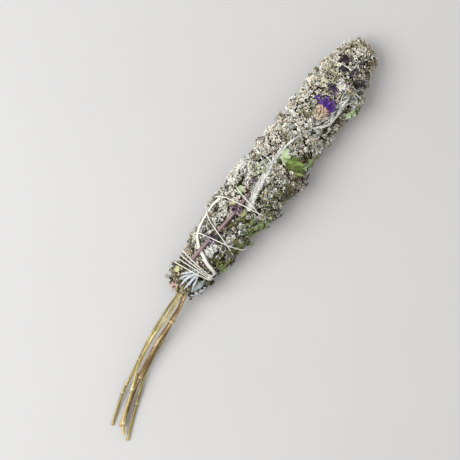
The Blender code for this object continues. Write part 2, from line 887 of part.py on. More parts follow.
def blade_mesh(under, over, count, last):
    """A closed sheet between two grids, its squares split alike on both faces."""
    bm = bmesh.new()
    low = [[bm.verts.new(p) for p in row] for row in under]
    high = [[bm.verts.new(p) for p in row] for row in over]
    for i in range(count):
        for j in range(last):
            for side, way in ((low, 1), (high, -1)):
                a, b = side[i][j], side[i][j + 1]
                c, d = side[i + 1][j + 1], side[i + 1][j]
                bm.faces.new((a, b, c)[::way])
                bm.faces.new((a, c, d)[::way])
        for j in (0, last):
            bm.faces.new((low[i][j], low[i + 1][j], high[i + 1][j]))
            bm.faces.new((low[i][j], high[i + 1][j], high[i][j]))
    for i in (0, count):
        for j in range(last):
            bm.faces.new((low[i][j], low[i][j + 1], high[i][j + 1]))
            bm.faces.new((low[i][j], high[i][j + 1], high[i][j]))
    return bm


def leaf_width(half, peak=0.45, tip=0.12):
    """Half widths of a leaf that is widest at peak and ends in a point."""

    def at(f):
        if f < peak:
            return half * (0.22 + 0.78 * math.sin(math.pi / 2 * f / peak))
        return half * max(math.cos(math.pi / 2 * (f - peak) / (1 - peak)), tip)

    return at


GREEN = material("leaf_green", (0.20, 0.27, 0.10))
SAGE = material("leaf_sage", (0.40, 0.47, 0.28))
BRACT = material("basil_bract", (0.48, 0.50, 0.20))
SILVER = material("silver_foliage", (0.62, 0.63, 0.56))
PLUM = material("dried_plum", (0.07, 0.04, 0.08))
VIOLET = material("violet_petals", (0.13, 0.03, 0.33))
BASIL = material("basil_stem", (0.28, 0.14, 0.16))


def foliage():
    """Leaves that lie under the sprigs and the thread, the widest first."""
    # The leaf at the tip's side and the narrow leaf, on the +X flank
    blade("leaf_tip_side", SAGE, TIP_LEAF, leaf_width(2.6), teeth=0.1)
    blade("leaf_narrow", SAGE, NARROW_LEAF, leaf_width(2.0), teeth=0.1)
    # Curled leaves along the lower +X edge
    for k, (route, half) in enumerate(zip(EDGE_LEAVES, EDGE_LEAF_HALVES), 1):
        blade(f"edge_leaf_{k}", GREEN, route, leaf_width(half), teeth=0.14, cup=0.9, wave=0.25)
    # The rounded leaf and the frill at the foot
    blade("base_leaf", SAGE, BASE_LEAF, leaf_width(2.0, peak=0.5, tip=0.2))
    frill = leaf_width(1.7, peak=0.5, tip=0.3)
    blade("base_frill", SILVER, BASE_FRILL, frill, step=1.2, teeth=0.45)
    # The silver cut leaf, its lobes leaning towards its tip at the head's foot
    lobes = leaf_width(3.4, peak=0.4, tip=0.3)
    shape = dict(step=1.5, columns=5, teeth=0.75, lobe_lean=0.8)
    blade("silver_cut_leaf", SILVER, CUT_LEAF, lobes, **shape)
    # Small leaves beside the basil's calyxes
    blade("leaf_pale", SAGE, PALE_LEAF, leaf_width(2.4, peak=0.5, tip=0.4))
    bract = leaf_width(2.1, peak=0.4, tip=0.3)
    for k, route in enumerate(BRACTS, 1):
        blade(f"basil_bract_{k}", BRACT, route, bract, step=1.7, cup=0.5)
    # The large folded leaf, from the middle of the head down its +X side
    centre = leaf_width(4.6, peak=0.3, tip=0.25)
    shape = dict(step=2.0, columns=5, cup=0.7, teeth=0.05, wave=0.15)
    blade("leaf_centre", GREEN, CENTRE_LEAF, centre, **shape)
    # The pale felted strip of stalk that crosses the head near its foot
    blade("silver_strip", SILVER, SILVER_STRIP, lambda f: STRIP_HALF, step=2.6, thick=1.0)


def spike():
    """The basil flower stem, square and grooved, with a collar of calyxes at each whorl."""
    tree = solid_tree()
    rows = resampled(BASIL_SPIKE, SPIKE_STEP)
    rises = upper_envelope([height_over(tree, a, t, SPIKE_PROBE) for a, t in rows], 1)
    rings = []
    for (along, turn), rise in zip(rows, rises):
        foot = rise + GAP
        rings.append(square_ring(along, turn, foot, 1.0, 0.0))
        if any(abs(along - whorl) < SPIKE_STEP / 2 for whorl in WHORLS):
            for ahead, corner, forward in WHORL_RINGS:
                rings.append(square_ring(along + ahead, turn, foot, corner, forward))
    finish_object("basil_spike", loft(rings), BASIL)


def square_ring(along, turn, foot, corner, forward):
    """Eight points of a grooved square section. Upper corners lean forward, as calyxes do."""
    _, _, reach = outward(along, turn)
    ring = []
    for k in range(8):
        angle = math.tau * (k + 0.5) / 8
        is_corner = k % 2 == 0
        size = corner * STALK_CORNER if is_corner else STALK_GROOVE
        side = size * math.sin(angle)
        up = max(size * math.cos(angle), 0.05 - STALK_HEIGHT)
        lean = forward if is_corner and up > -STALK_GROOVE else 0.0
        ring.append(on_skin(along + lean, turn + side / reach, foot + STALK_HEIGHT + up))
    return ring


def draped_tube(tree, rows, radii, sides_step):
    """A tube along skin positions, over whatever already lies there."""
    rises = [height_over(tree, a, t, max(size, SPRIG_PROBE)) for (a, t), size in zip(rows, radii)]
    rises = upper_envelope(rises, 1)
    points = [on_skin(a, t, h + size + GAP) for (a, t), h, size in zip(rows, rises, radii)]
    return tube_mesh(points, radii, sides_step)


def sprig_radius(f):
    """The sprig's stalk is felted and thick at its lower end, thin from a third of it on."""
    return 1.5 - 0.75 * smoothstep(f / 0.35) if f < 0.97 else 0.55


def sprig():
    """The long silver sprig: a felted stalk, with feathery leaves past its middle."""
    tree = solid_tree()
    rows = resampled(SILVER_SPRIG, SPRIG_STEP)
    last = len(rows) - 1
    stalk = [sprig_radius(i / last) for i in range(last + 1)]
    meshes = [draped_tube(tree, rows, stalk, sides_step=1)]
    thick, thin = SPRIG_LEAF_RADIUS
    for f, side, out, ahead in SPRIG_LEAVES:
        i = int(f * last)
        unit = heading(rows[i], rows[i + 1])
        route = []
        for g in (0.0, 0.5, 1.0):
            sideways = side * out * g * (1.15 - 0.15 * g)
            route.append(beside(rows[i], unit, ahead * g, sideways))
        steps = resampled(route, SPRIG_LEAF_STEP)
        radii = [thick + (thin - thick) * k / (len(steps) - 1) for k in range(len(steps))]
        meshes.append(draped_tube(tree, steps, radii, sides_step=0))
    finish_object("silver_sprig", united(meshes), SILVER)


# Blooms


def crown_mesh(place, tilt, rings, sides, spin=0.0, squash=1.0):
    """A bloom of pointed parts, its axis tilted from straight out of the skin to along the head.

    Each ring has its place on that axis, the radius of its points and of the notches between
    them, and how far the notches lie behind the points.
    """
    _, way, _ = outward(*place)
    axis = way * math.cos(tilt) + Vector((0, math.sin(tilt), 0))
    side = Vector((0, 1, 0)).cross(way).normalized()
    third = axis.cross(side).normalized()
    base = on_skin(*place, BLOOM_LIFT)
    made = []
    for ahead, tips, notches, drop in rings:
        ring = []
        for k in range(2 * sides):
            angle = math.pi * k / sides + spin
            size, far = (notches, ahead - drop) if k % 2 else (tips, ahead)
            flat = third * (math.sin(angle) * size * squash)
            ring.append(base + axis * far + side * (math.cos(angle) * size) + flat)
        made.append(ring)
    return loft(made)


def settle(meshes, place):
    """Raises meshes along the head's outward way until they clear all that lies under them."""
    tree = solid_tree()
    _, way, _ = outward(*place)
    need = LOWEST
    for bm in meshes:
        for probe in [v.co for v in bm.verts] + [f.calc_center_median() for f in bm.faces]:
            across, height, wide, high = head_at(probe.y)
            turn = math.atan2((probe.x - across) / wide, (probe.z - height) / high)
            axis, away, _ = outward(probe.y, turn)
            hit = tree.ray_cast(axis + away * CAST_FROM, -away)
            if hit[0] is not None:
                need = max(need, (hit[0] - axis).length - (probe - axis).length)
    for bm in meshes:
        bmesh.ops.translate(bm, verts=bm.verts, vec=way * (need + BLOOM_GAP))


def crown(name, finish, place, tilt, rings, sides, spin=0.0):
    bm = crown_mesh(place, tilt, rings, sides, spin)
    settle([bm], place)
    finish_object(name, bm, finish)


def scaly_cup():
    """The bloom's cup: a barrel whose alternate points stand out as scales."""
    rings = []
    for i in range(CUP_ROWS + 1):
        f = i / CUP_ROWS
        radius = 1.6 + 2.5 * math.sin(math.pi * (0.08 + 0.8 * f)) ** 0.8
        scale = radius + (0.55 if 0 < i < CUP_ROWS else 0.1)
        between = radius - 0.15
        tips, notches = (scale, between) if i % 2 else (between, scale)
        rings.append((CUP_LENGTH * f, tips, notches, 0.0))
    return rings


def violet_tuft():
    """The bloom's petals, in two pointed layers that start just past the cup's mouth."""
    return [(CUP_LENGTH + GAP + ahead, *rest) for ahead, *rest in TUFT_RINGS]


def blooms():
    along, turn = BLOOM
    place = (along - CUP_LENGTH / 2, turn)
    cup = crown_mesh(place, BLOOM_TILT, scaly_cup(), sides=7, squash=0.9)
    tuft = crown_mesh(place, BLOOM_TILT, violet_tuft(), sides=9, squash=0.9)
    settle([cup, tuft], place)
    finish_object("bloom_cup", cup, material("bloom_cup", (0.46, 0.30, 0.19)))
    finish_object("bloom_tuft", tuft, VIOLET)
    small = [(ahead, 0.8 * tips, 0.8 * notches, drop) for ahead, tips, notches, drop in ROSETTE]
    dull = material("dull_violet", (0.20, 0.14, 0.22))
    lavender = material("lavender_grey", (0.42, 0.40, 0.46))
    crown("violet_bloom", dull, VIOLET_BLOOM, 0.2, small, 6)
    crown("lavender_bloom", lavender, LAVENDER_BLOOM, 0.1, ROSETTE, 7, spin=0.3)
    for k, place in enumerate(PLUM_PETALS, 1):
        crown(f"plum_petals_{k}", PLUM, place, 0.1, small, 5, spin=0.4 * k)


# The thread


def thread():
    """One thread: four turns through the knot, up to the tip, and down again to the knot."""
    rows = winding(THREAD_STEP)
    top = next(i for i, (_, turn) in enumerate(rows) if turn < -THREAD_TOP_TURN * math.tau)
    top -= top % THREAD_STRIDE
    tree = solid_tree()
    points = thread_points(tree, rows[: top + THREAD_STRIDE])[: top // THREAD_STRIDE + 1]
    tree = with_strand(points)
    points += thread_points(tree, rows[top:])[1:]
    strand = tube_mesh(points, [THREAD] * len(points), 0)
    knot = bmesh.new()
    bmesh.ops.create_icosphere(knot, subdivisions=2, radius=1.0)
    bmesh.ops.scale(knot, vec=THREAD_KNOT_SIZE, verts=knot.verts)
    along, turn = THREAD_KNOT
    wide, _, high = THREAD_KNOT_SIZE
    rise = max(height_over(solid_tree(), along + k * wide, turn, high) for k in (-1.2, 0, 1.2))
    bmesh.ops.translate(knot, verts=knot.verts, vec=on_skin(along, turn, rise + high + GAP))
    finish = material("thread", (0.80, 0.77, 0.68), 0.8)
    finish_object("binding_thread", united([strand, knot]), finish)


def with_strand(points):
    """The tree of all solids and of the thread's first stretch."""
    bm = tube_mesh(points, [THREAD] * len(points), 0)
    bm.verts.index_update()
    first = len(SOLID["points"])
    solids = SOLID["points"] + [v.co.copy() for v in bm.verts]
    faces = SOLID["faces"] + [[v.index + first for v in f.verts] for f in bm.faces]
    bm.free()
    return BVHTree.FromPolygons(solids, faces)


def thread_points(tree, rows):
    """Points of a taut thread, which bridges what lies low between what stands high."""
    raw = [height_over(tree, a, t, THREAD_PROBE) for a, t in rows]
    need = upper_envelope(raw, THREAD_STRIDE)
    taut = list(need)
    for _ in range(TAUT_PASSES):
        for i in range(1, len(taut) - 1):
            taut[i] = max(need[i], (taut[i - 1] + taut[i + 1]) / 2 - ROUND_SAG)
    points = []
    for (along, turn), rise in list(zip(rows, taut))[::THREAD_STRIDE]:
        point = on_skin(along, turn, rise + THREAD + GAP + STRAIGHT_SAG)
        point.z = max(point.z, THREAD + 0.02)
        points.append(point)
    return points


def set_origin():
    """Moves every mesh so that the origin is under the middle of the whole, in metres."""
    low = Vector((1e9, 1e9, 1e9))
    high = -low
    for made in MADE:
        for v in made.data.vertices:
            for k in range(3):
                low[k] = min(low[k], v.co[k])
                high[k] = max(high[k], v.co[k])
    middle = Vector(((low.x + high.x) / 2, (low.y + high.y) / 2, low.z))
    for made in MADE:
        for v in made.data.vertices:
            v.co = (v.co - middle) * MM
        made.data.update()
    return middle


def build():
    bpy.context.scene.collection.children.link(COLLECTION)
    press_all()
    for name, spec in STEMS.items():
        stem(name, spec)
    SOLID["points"].clear()
    SOLID["faces"].clear()
    sprays()
    foliage()
    spike()
    sprig()
    blooms()
    thread()
    return set_origin()


for old in list(bpy.data.objects):
    bpy.data.objects.remove(old)
ORIGIN = build()
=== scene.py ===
"""Looks of the basil smudge stick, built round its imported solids.

Shapes are worked out in the design's own millimetres: x is 'across', y is 'along' from the foot
of the head towards the tip, z is height above the surface. 'Turn' goes round the head's axis,
zero on top and positive towards +X, and 'rise' is a distance out of the head's plain skin.
"""

import math

import bpy
import numpy as np
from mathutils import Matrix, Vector, noise
from mathutils.bvhtree import BVHTree


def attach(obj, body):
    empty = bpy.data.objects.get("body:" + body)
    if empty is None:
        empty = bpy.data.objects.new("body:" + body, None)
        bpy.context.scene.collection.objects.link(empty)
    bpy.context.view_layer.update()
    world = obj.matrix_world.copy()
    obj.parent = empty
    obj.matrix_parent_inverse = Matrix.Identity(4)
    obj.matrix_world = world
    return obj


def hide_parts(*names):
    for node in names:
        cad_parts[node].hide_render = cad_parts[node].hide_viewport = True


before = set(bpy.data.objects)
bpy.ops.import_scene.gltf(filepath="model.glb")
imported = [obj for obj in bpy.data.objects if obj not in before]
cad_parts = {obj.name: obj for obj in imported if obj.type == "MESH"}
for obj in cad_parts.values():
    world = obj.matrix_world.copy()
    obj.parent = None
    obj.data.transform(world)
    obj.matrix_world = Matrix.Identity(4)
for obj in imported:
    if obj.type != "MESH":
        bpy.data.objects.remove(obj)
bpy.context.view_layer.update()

MM = 0.001
ORIGIN = np.array((6.2685, 51.5182, 0.0))  # the frame's origin in the design's millimetres
BODY = "root"
LEAST_HEIGHT = 0.03  # of any point over the surface

# The head, as in the solids: along, across of its axis, and half of its width without florets
HEAD = (
    (0, -0.8, 8.9), (4, -1.0, 10.3), (11, -0.6, 12.2), (25, -0.9, 12.8), (40, -1.3, 14.6),
    (54, -1.7, 16.3), (69, -1.1, 18.3), (84, 0.0, 19.2), (98, 0.1, 20.3), (112, 0.8, 18.5),
    (128, 0.5, 17.1), (141, 0.3, 17.5), (156, 1.5, 17.6), (168, 1.0, 18.5), (181, 0.3, 15.2),
    (194, 0.5, 13.2), (201, 0.4, 10.6), (205, -0.8, 7.0), (207.5, -2.2, 3.0),
)
FLATNESS = 0.84  # the head's height over its width
AXIS_HEIGHT = 14.2
AXIS_DROP = 1.9
HEAD_MIDDLE = 100.0
HEAD_TIP = 207.5
FLORET_MEAN_RISE = 0.8  # of the florets over the plain skin
CAST_FROM = 60.0  # from the head's axis, outside everything


# Curves and places


def smoothstep(value):
    value = np.clip(value, 0.0, 1.0)
    return value * value * (3 - 2 * value)


def spline_through(rows):
    """A function that gives a smooth curve's other columns at values of the first column."""
    table = np.array(rows, float)
    table = table[np.argsort(table[:, 0])]
    keys, values = table[:, 0], table[:, 1:]
    slopes = np.gradient(values, keys, axis=0)

    def at(key):
        key = np.clip(np.asarray(key, float), keys[0], keys[-1])
        i = np.clip(np.searchsorted(keys, key, "right") - 1, 0, len(keys) - 2)
        span = (keys[i + 1] - keys[i])[..., None]
        f = (key - keys[i])[..., None] / span
        start = (1 + 2 * f) * (1 - f) ** 2 * values[i] + f * (1 - f) ** 2 * span * slopes[i]
        end = f * f * (3 - 2 * f) * values[i + 1] - f * f * (1 - f) * span * slopes[i + 1]
        return start + end

    return at


head_curve = spline_through(HEAD)


def head_at(along):
    """The head's section: across and height of its axis, half width and half height."""
    row = head_curve(along)
    across, wide = row[..., 0], row[..., 1]
    height = AXIS_HEIGHT - AXIS_DROP * ((along - HEAD_MIDDLE) / HEAD_MIDDLE) ** 2
    return across, height, wide, wide * FLATNESS


def outward(along, turn):
    """The head's axis, the unit direction at turn and the distance to the skin."""
    along, turn = np.broadcast_arrays(np.asarray(along, float), np.asarray(turn, float))
    across, height, wide, high = head_at(along)
    x, z = wide * np.sin(turn), high * np.cos(turn)
    reach = np.hypot(x, z)
    way = np.stack([x / reach, np.zeros_like(x), z / reach], -1)
    return np.stack([across, along, height], -1), way, reach


def on_skin(along, turn, rise=0.0):
    axis, way, reach = outward(along, turn)
    return axis + way * np.asarray(reach + rise)[..., None]


def on_rows(rows, rise=0.0):
    """Points over rows of skin positions."""
    return on_skin(rows[..., 0], rows[..., 1], rise)


def skin_normal(along, turn):
    """Unit normals of the plain skin, which lean to the tip where the head narrows."""
    d_along = on_skin(along + 0.5, turn) - on_skin(along - 0.5, turn)
    d_turn = on_skin(along, turn + 0.02) - on_skin(along, turn - 0.02)
    normal = unit(np.cross(d_along, d_turn))
    _, way, _ = outward(along, turn)
    return normal * np.sign(np.sum(normal * way, axis=-1, keepdims=True))


def unit(vectors):
    return vectors / np.maximum(np.linalg.norm(vectors, axis=-1, keepdims=True), 1e-9)


def turn_at(along, across):
    """The turn of the point of the upper skin that lies across from the stick's line."""
    middle, _, wide, _ = head_at(along)
    return math.asin(min(max((across - middle) / (wide + FLORET_MEAN_RISE), -0.99), 0.99))


def from_above(*points):
    return [(along, turn_at(along, across)) for along, across in points]


def unskin(points):
    """Along, turn and rise of points in millimetres."""
    across, height, wide, high = head_at(points[..., 1])
    turn = np.arctan2((points[..., 0] - across) / wide, (points[..., 2] - height) / high)
    axis, _, reach = outward(points[..., 1], turn)
    return points[..., 1], turn, np.linalg.norm(points - axis, axis=-1) - reach


def run_along(points):
    """The distance along a line at each of its points."""
    return np.concatenate([[0], np.cumsum(np.linalg.norm(np.diff(points, axis=0), axis=1))])


def evenly(fine, step):
    run = run_along(on_rows(fine))
    goals = np.linspace(0, run[-1], max(int(round(run[-1] / step)), 2) + 1)
    return np.stack([np.interp(goals, run, fine[:, k]) for k in (0, 1)], -1)


def resampled(route, step):
    """Evenly spaced positions on a smooth curve through skin positions, as an array."""
    curve = spline_through([(k, *p) for k, p in enumerate(route)])
    return evenly(curve(np.linspace(0, len(route) - 1, 24 * (len(route) - 1) + 1)), step)


def headings(rows):
    """Unit directions on the skin along rows of positions: along and round."""
    _, _, reach = outward(rows[:, 0], rows[:, 1])
    step = np.gradient(rows, axis=0)
    step[:, 1] *= reach
    return unit(step)


def beside(places, ways, forward, sideways):
    """Skin positions that lie forward and sideways, in millimetres, of places."""
    _, _, reach = outward(places[..., 0], places[..., 1])
    along = places[..., 0] + ways[..., 0] * forward - ways[..., 1] * sideways
    turn = places[..., 1] + (ways[..., 1] * forward + ways[..., 0] * sideways) / reach
    return np.stack([along, turn], -1)


# The frame's solids, as trees in millimetres


def solid_of(node):
    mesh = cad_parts[node].data
    points = np.zeros(len(mesh.vertices) * 3)
    mesh.vertices.foreach_get("co", points)
    mesh.calc_loop_triangles()
    corners = np.zeros(len(mesh.loop_triangles) * 3, int)
    mesh.loop_triangles.foreach_get("vertices", corners)
    return points.reshape(-1, 3) / MM + ORIGIN, corners.reshape(-1, 3)


def tree_of(nodes, more=()):
    """One tree of several nodes. More gives points and faces of other shapes to add."""
    points, faces = [], []
    for p, f in [*map(solid_of, nodes), *more]:
        faces += (f + len(points)).tolist()
        points += [Vector(v) for v in p]
    return BVHTree.FromPolygons(points, faces)


def cast_in(tree, along, turn):
    """Rise of the outermost hit under each skin position, and the face hit. None is nan."""
    axis, way, reach = outward(along, turn)
    shape = reach.shape
    axis, way, reach = axis.reshape(-1, 3), way.reshape(-1, 3), reach.ravel()
    rise, face = np.full(len(reach), np.nan), np.full(len(reach), -1)
    for i in range(len(reach)):
        start = axis[i] + way[i] * CAST_FROM
        place, _, index, distance = tree.ray_cast(Vector(start), Vector(-way[i]), CAST_FROM)
        if place is not None:
            rise[i], face[i] = CAST_FROM - distance - reach[i], index
    return rise.reshape(shape), face.reshape(shape)


def top_rise(tree, along, turn):
    """Rise of a piece's outer face at skin positions, or of its nearest part beside it."""
    rise, _ = cast_in(tree, along, turn)
    for index in np.argwhere(np.isnan(rise)):
        index = tuple(index)
        place, _, _, _ = tree.find_nearest(Vector(on_skin(along[index], turn[index])))
        rise[index] = unskin(np.array(place))[2]
    return rise


def softened(values, passes):
    """Values averaged with their neighbours along each axis, edges kept."""
    for _ in range(passes):
        for axis in range(values.ndim):
            ahead = np.roll(values, 1, axis)
            behind = np.roll(values, -1, axis)
            mean = (ahead + 2 * values + behind) / 4
            keep = [slice(None)] * values.ndim
            keep[axis] = slice(1, -1)
            out = values.copy()
            out[tuple(keep)] = mean[tuple(keep)]
            values = out
    return values


def draped(tree, rows, passes, lift=0.0):
    """Points on the outer face of a piece along rows of skin positions, evened out."""
    return on_rows(rows, softened(top_rise(tree, rows[:, 0], rows[:, 1]), passes) + lift)


SPRAYS = [f"spray_{k:02d}" for k in range(1, 29)]
STEM_NAMES = [f"stem_{letter}" for letter in "abcd"]
LYING = sorted(set(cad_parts) - {*SPRAYS, *STEM_NAMES, "binding_thread"})
LYING_TREE, SPRAY_TREE, THREAD_TREE = map(tree_of, (LYING, SPRAYS, ["binding_thread"]))
STRIP_TREE, SPRIG_TREE = tree_of(["silver_strip"]), tree_of(["silver_sprig"])
SPRAY_OWNER = np.repeat(range(len(SPRAYS)), [len(solid_of(node)[1]) for node in SPRAYS])


def colour(red, green, blue):
    """A linear colour from screen values, 0 to 255."""
    values = np.array((red, green, blue), float) / 255
    return np.where(values <= 0.04045, values / 12.92, ((values + 0.055) / 1.055) ** 2.4)


def blend(a, b, share):
    share = np.clip(np.asarray(share, float), 0, 1)[..., None]
    return a * (1 - share) + b * share


def lumps(points, scale, seed):
    """Smooth noise from -1 to 1 at points in millimetres."""
    offset = Vector((seed * 7.3, seed * 3.1, seed * 5.7))
    flat = np.asarray(points, float).reshape(-1, 3)
    made = np.array([noise.noise(Vector(p) / scale + offset) for p in flat])
    return made.reshape(np.shape(points)[:-1])


# Meshes


class Heap:
    """Triangles with a colour at each point, gathered into one piece."""

    def __init__(self):
        self.points, self.faces, self.tints, self.slots = [], [], [], []
        self.count = 0

    def add(self, points, faces, tint, slot=0):
        points = np.asarray(points, float).reshape(-1, 3)
        faces = np.asarray(faces, int).reshape(-1, 3)
        self.points.append(points)
        self.faces.append(faces + self.count)
        self.tints.append(np.broadcast_to(np.asarray(tint, float).reshape(-1, 3), points.shape))
        self.slots.append(np.full(len(faces), slot))
        self.count += len(points)

    def piece(self, node, look, *materials, smooth=True):
        """The heap as one object that takes the place of a node."""
        points = np.concatenate(self.points)
        faces = np.concatenate(self.faces)
        points[:, 2] = np.maximum(points[:, 2], LEAST_HEIGHT)
        name = f"{node}_{look}"
        mesh = bpy.data.meshes.new(name)
        mesh.vertices.add(len(points))
        mesh.vertices.foreach_set("co", ((points - ORIGIN) * MM).ravel())
        mesh.loops.add(len(faces) * 3)
        mesh.loops.foreach_set("vertex_index", faces.ravel())
        mesh.polygons.add(len(faces))
        mesh.polygons.foreach_set("loop_start", np.arange(0, len(faces) * 3, 3))
        mesh.polygons.foreach_set("material_index", np.concatenate(self.slots))
        mesh.polygons.foreach_set("use_smooth", np.full(len(faces), smooth))
        tint = mesh.attributes.new("tint", "FLOAT_COLOR", "POINT")
        values = np.ones((len(points), 4))
        values[:, :3] = np.clip(np.concatenate(self.tints), *TINT_RANGE)
        tint.data.foreach_set("color", values.ravel())
        mesh.update()
        mesh.validate()
        for material in materials:
            mesh.materials.append(material)
        made = bpy.data.objects.new(name, mesh)
        bpy.context.scene.collection.objects.link(made)
        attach(made, BODY)
        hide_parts(node)


def ring_faces(rings, sides, closed=True):
    """Triangles between rings of equal length whose points follow each other."""
    wide = np.arange(sides if closed else sides - 1)
    i, j = np.meshgrid(np.arange(rings - 1), wide, indexing="ij")
    k = (j + 1) % sides
    a, b, c, d = i * sides + j, i * sides + k, (i + 1) * sides + k, (i + 1) * sides + j
    pairs = [np.stack([a, b, c], -1).reshape(-1, 3), np.stack([a, c, d], -1).reshape(-1, 3)]
    return np.concatenate(pairs)


def fan(first, sides, hub, inward=False):
    """Triangles between a ring of points and a hub point."""
    j = first + np.arange(sides)
    k = first + (np.arange(sides) + 1) % sides
    return np.stack([k, j, 0 * j + hub] if inward else [j, k, 0 * j + hub], -1)


def round_angles(count):
    return np.arange(count) * math.tau / count


def radials(angle, first, second):
    """Unit directions at angles in the plane of two sides."""
    return np.cos(angle)[:, None] * first + np.sin(angle)[:, None] * second


def frames_along(points):
    """Two steady normals along a line of points."""
    tangent = unit(np.gradient(points, axis=0))
    side = np.zeros_like(points)
    start = np.array((0.0, 0.0, 1.0)) if abs(tangent[0, 2]) < 0.9 else np.array((1.0, 0, 0))
    for i, way in enumerate(tangent):
        start = start - way * np.dot(start, way)
        start /= np.linalg.norm(start)
        side[i] = start
    return side, np.cross(tangent, side)


def closed_tube(heap, line, rings, tint, caps=None):
    """A tube of rings round a line, closed at both ends, whose colours are caps.

    Tint is one colour, or one for each ring, or one for each point of the rings.
    """
    count, sides = rings.shape[:2]
    tint = np.asarray(tint, float)
    if tint.ndim < 3:
        tint = np.broadcast_to(tint.reshape(-1, 1, 3), rings.shape)
    ends = tint[[0, -1]].mean(1) if caps is None else np.broadcast_to(caps, (2, 3))
    hub = count * sides
    faces = [ring_faces(count, sides), fan(0, sides, hub, True), fan(hub - sides, sides, hub + 1)]
    points = np.concatenate([rings.reshape(-1, 3), line[[0, -1]]])
    heap.add(points, np.concatenate(faces), np.concatenate([tint.reshape(-1, 3), ends]))


def tube(heap, points, radii, tint, sides=8, shape=1.0, caps=None):
    """A tube along points. Shape gives a factor of the radius at each ring and side."""
    radii = np.broadcast_to(np.asarray(radii, float), len(points))
    side, third = frames_along(points)
    angles = round_angles(sides)
    out = side[:, None] * np.cos(angles)[None, :, None]
    out = out + third[:, None] * np.sin(angles)[None, :, None]
    shape = np.broadcast_to(shape, (len(points), sides))
    rings = points[:, None] + out * (radii[:, None] * shape)[..., None]
    closed_tube(heap, points, rings, tint, caps)


def flat_tube(heap, line, wide, thick, tint, sides=8):
    """A flattened tube along a line that lies on the head."""
    tangent = unit(np.gradient(line, axis=0))
    along, turn, _ = unskin(line)
    side = unit(np.cross(tangent, skin_normal(along, turn)))
    out = np.cross(side, tangent)
    angles = round_angles(sides)
    wide = np.broadcast_to(wide, len(line))
    rings = line[:, None] + side[:, None] * (np.cos(angles)[None] * wide[:, None])[..., None]
    rings = rings + out[:, None] * (np.sin(angles)[None] * thick)[..., None]
    ends = tint[[0, -1]] if tint.ndim < 3 else tint[[0, -1], 0]
    closed_tube(heap, line, rings, tint, ends)


def strap(rows, half_width, thick, curl=0.0, dish=0.0):
    """A thin closed strap of length 1 along z, width along x: its points, faces and shares.

    Half width is a function of 0 to 1 along it, curl bends it towards +y at its end, and dish
    lifts its edges towards +y.
    """
    f = np.linspace(0, 1, rows)
    wide = np.array([half_width(v) for v in f])
    bend = curl * f * f
    left = np.stack([-wide, bend + dish * wide, f], -1)
    right = np.stack([wide, bend + dish * wide, f], -1)
    over = np.stack([0 * f, bend + thick, f], -1)
    under = np.stack([0 * f, bend - thick, f], -1)
    points = np.stack([left, over, right, under], 1).reshape(-1, 3)
    end = (rows - 1) * 4
    caps = [[0, 2, 1], [0, 3, 2], [end, end + 1, end + 2], [end, end + 2, end + 3]]
    return points, np.concatenate([ring_faces(rows, 4), caps]), np.repeat(f, 4)


def leafy(peak=0.45, tip=0.05):
    """Half widths from 0 to 1 of a strap that is widest at peak."""

    def at(f):
        if f < peak:
            return 0.3 + 0.7 * math.sin(math.pi / 2 * f / peak)
        return max(math.cos(math.pi / 2 * (f - peak) / (1 - peak)), tip)

    return at


def narrowing(by):
    """Half widths of a strap that narrows evenly to its end."""
    return lambda f: 1.0 - by * f


def ovoid(rings, sides, draw, ragged=0.0):
    """A closed turned shape: rings of height, radius and share, with pointed ends."""
    points, shares = [(0, 0, rings[0][0])], [rings[0][2]]
    for number, (height, radius, share) in enumerate(rings[1:-1]):
        for k in range(sides):
            angle = math.tau * (k + 0.5 * (number % 2)) / sides
            size = radius * (1 + ragged * draw.uniform(-1, 1))
            lift = height + ragged * draw.uniform(-0.3, 0.3)
            points.append((size * math.cos(angle), size * math.sin(angle), lift))
            shares.append(share)
    points.append((0, 0, rings[-1][0]))
    shares.append(rings[-1][2])
    count = len(rings) - 2
    faces = [fan(1, sides, 0, True), ring_faces(count, sides) + 1]
    faces.append(fan(1 + (count - 1) * sides, sides, len(points) - 1))
    return np.array(points, float), np.concatenate(faces), np.array(shares, float)


def joined(parts):
    """Several templates as one."""
    firsts = np.cumsum([0] + [len(points) for points, _, _ in parts])
    points, faces, shares = zip(*parts)
    faces = [f + first for f, first in zip(faces, firsts)]
    return np.concatenate(points), np.concatenate(faces), np.concatenate(shares)


def frames_of(ways, spins):
    """Rotation matrices whose third axis is way, turned about it by spin."""
    other = np.where(np.abs(ways[:, 2:3]) < 0.9, [[0.0, 0.0, 1.0]], [[1.0, 0.0, 0.0]])
    x = unit(np.cross(other, ways))
    y = np.cross(ways, x)
    c, s = np.cos(spins)[:, None], np.sin(spins)[:, None]
    return np.stack([x * c + y * s, y * c - x * s, ways], -1)


def frames_facing(ways, faces):
    """Rotation matrices whose third axis is way and whose second axis faces as told."""
    x = unit(np.cross(faces, ways))
    return np.stack([x, np.cross(ways, x), ways], -1)


def spread(heap, template, places, frames, sizes, tints, slot=0):
    """Copies of a template, each with a place, frame, size along its axes, and colours."""
    points, faces = template[:2]
    made = np.einsum("kij,kj,nj->kni", frames, sizes, points) + places[:, None]
    made[..., 2] += np.maximum(LEAST_HEIGHT + 0.02 - made[..., 2].min(1), 0)[:, None]
    offsets = (np.arange(len(places)) * len(points))[:, None, None]
    tints = np.broadcast_to(tints, (len(places), len(points), 3))
    heap.add(made.reshape(-1, 3), (faces[None] + offsets).reshape(-1, 3), tints, slot)


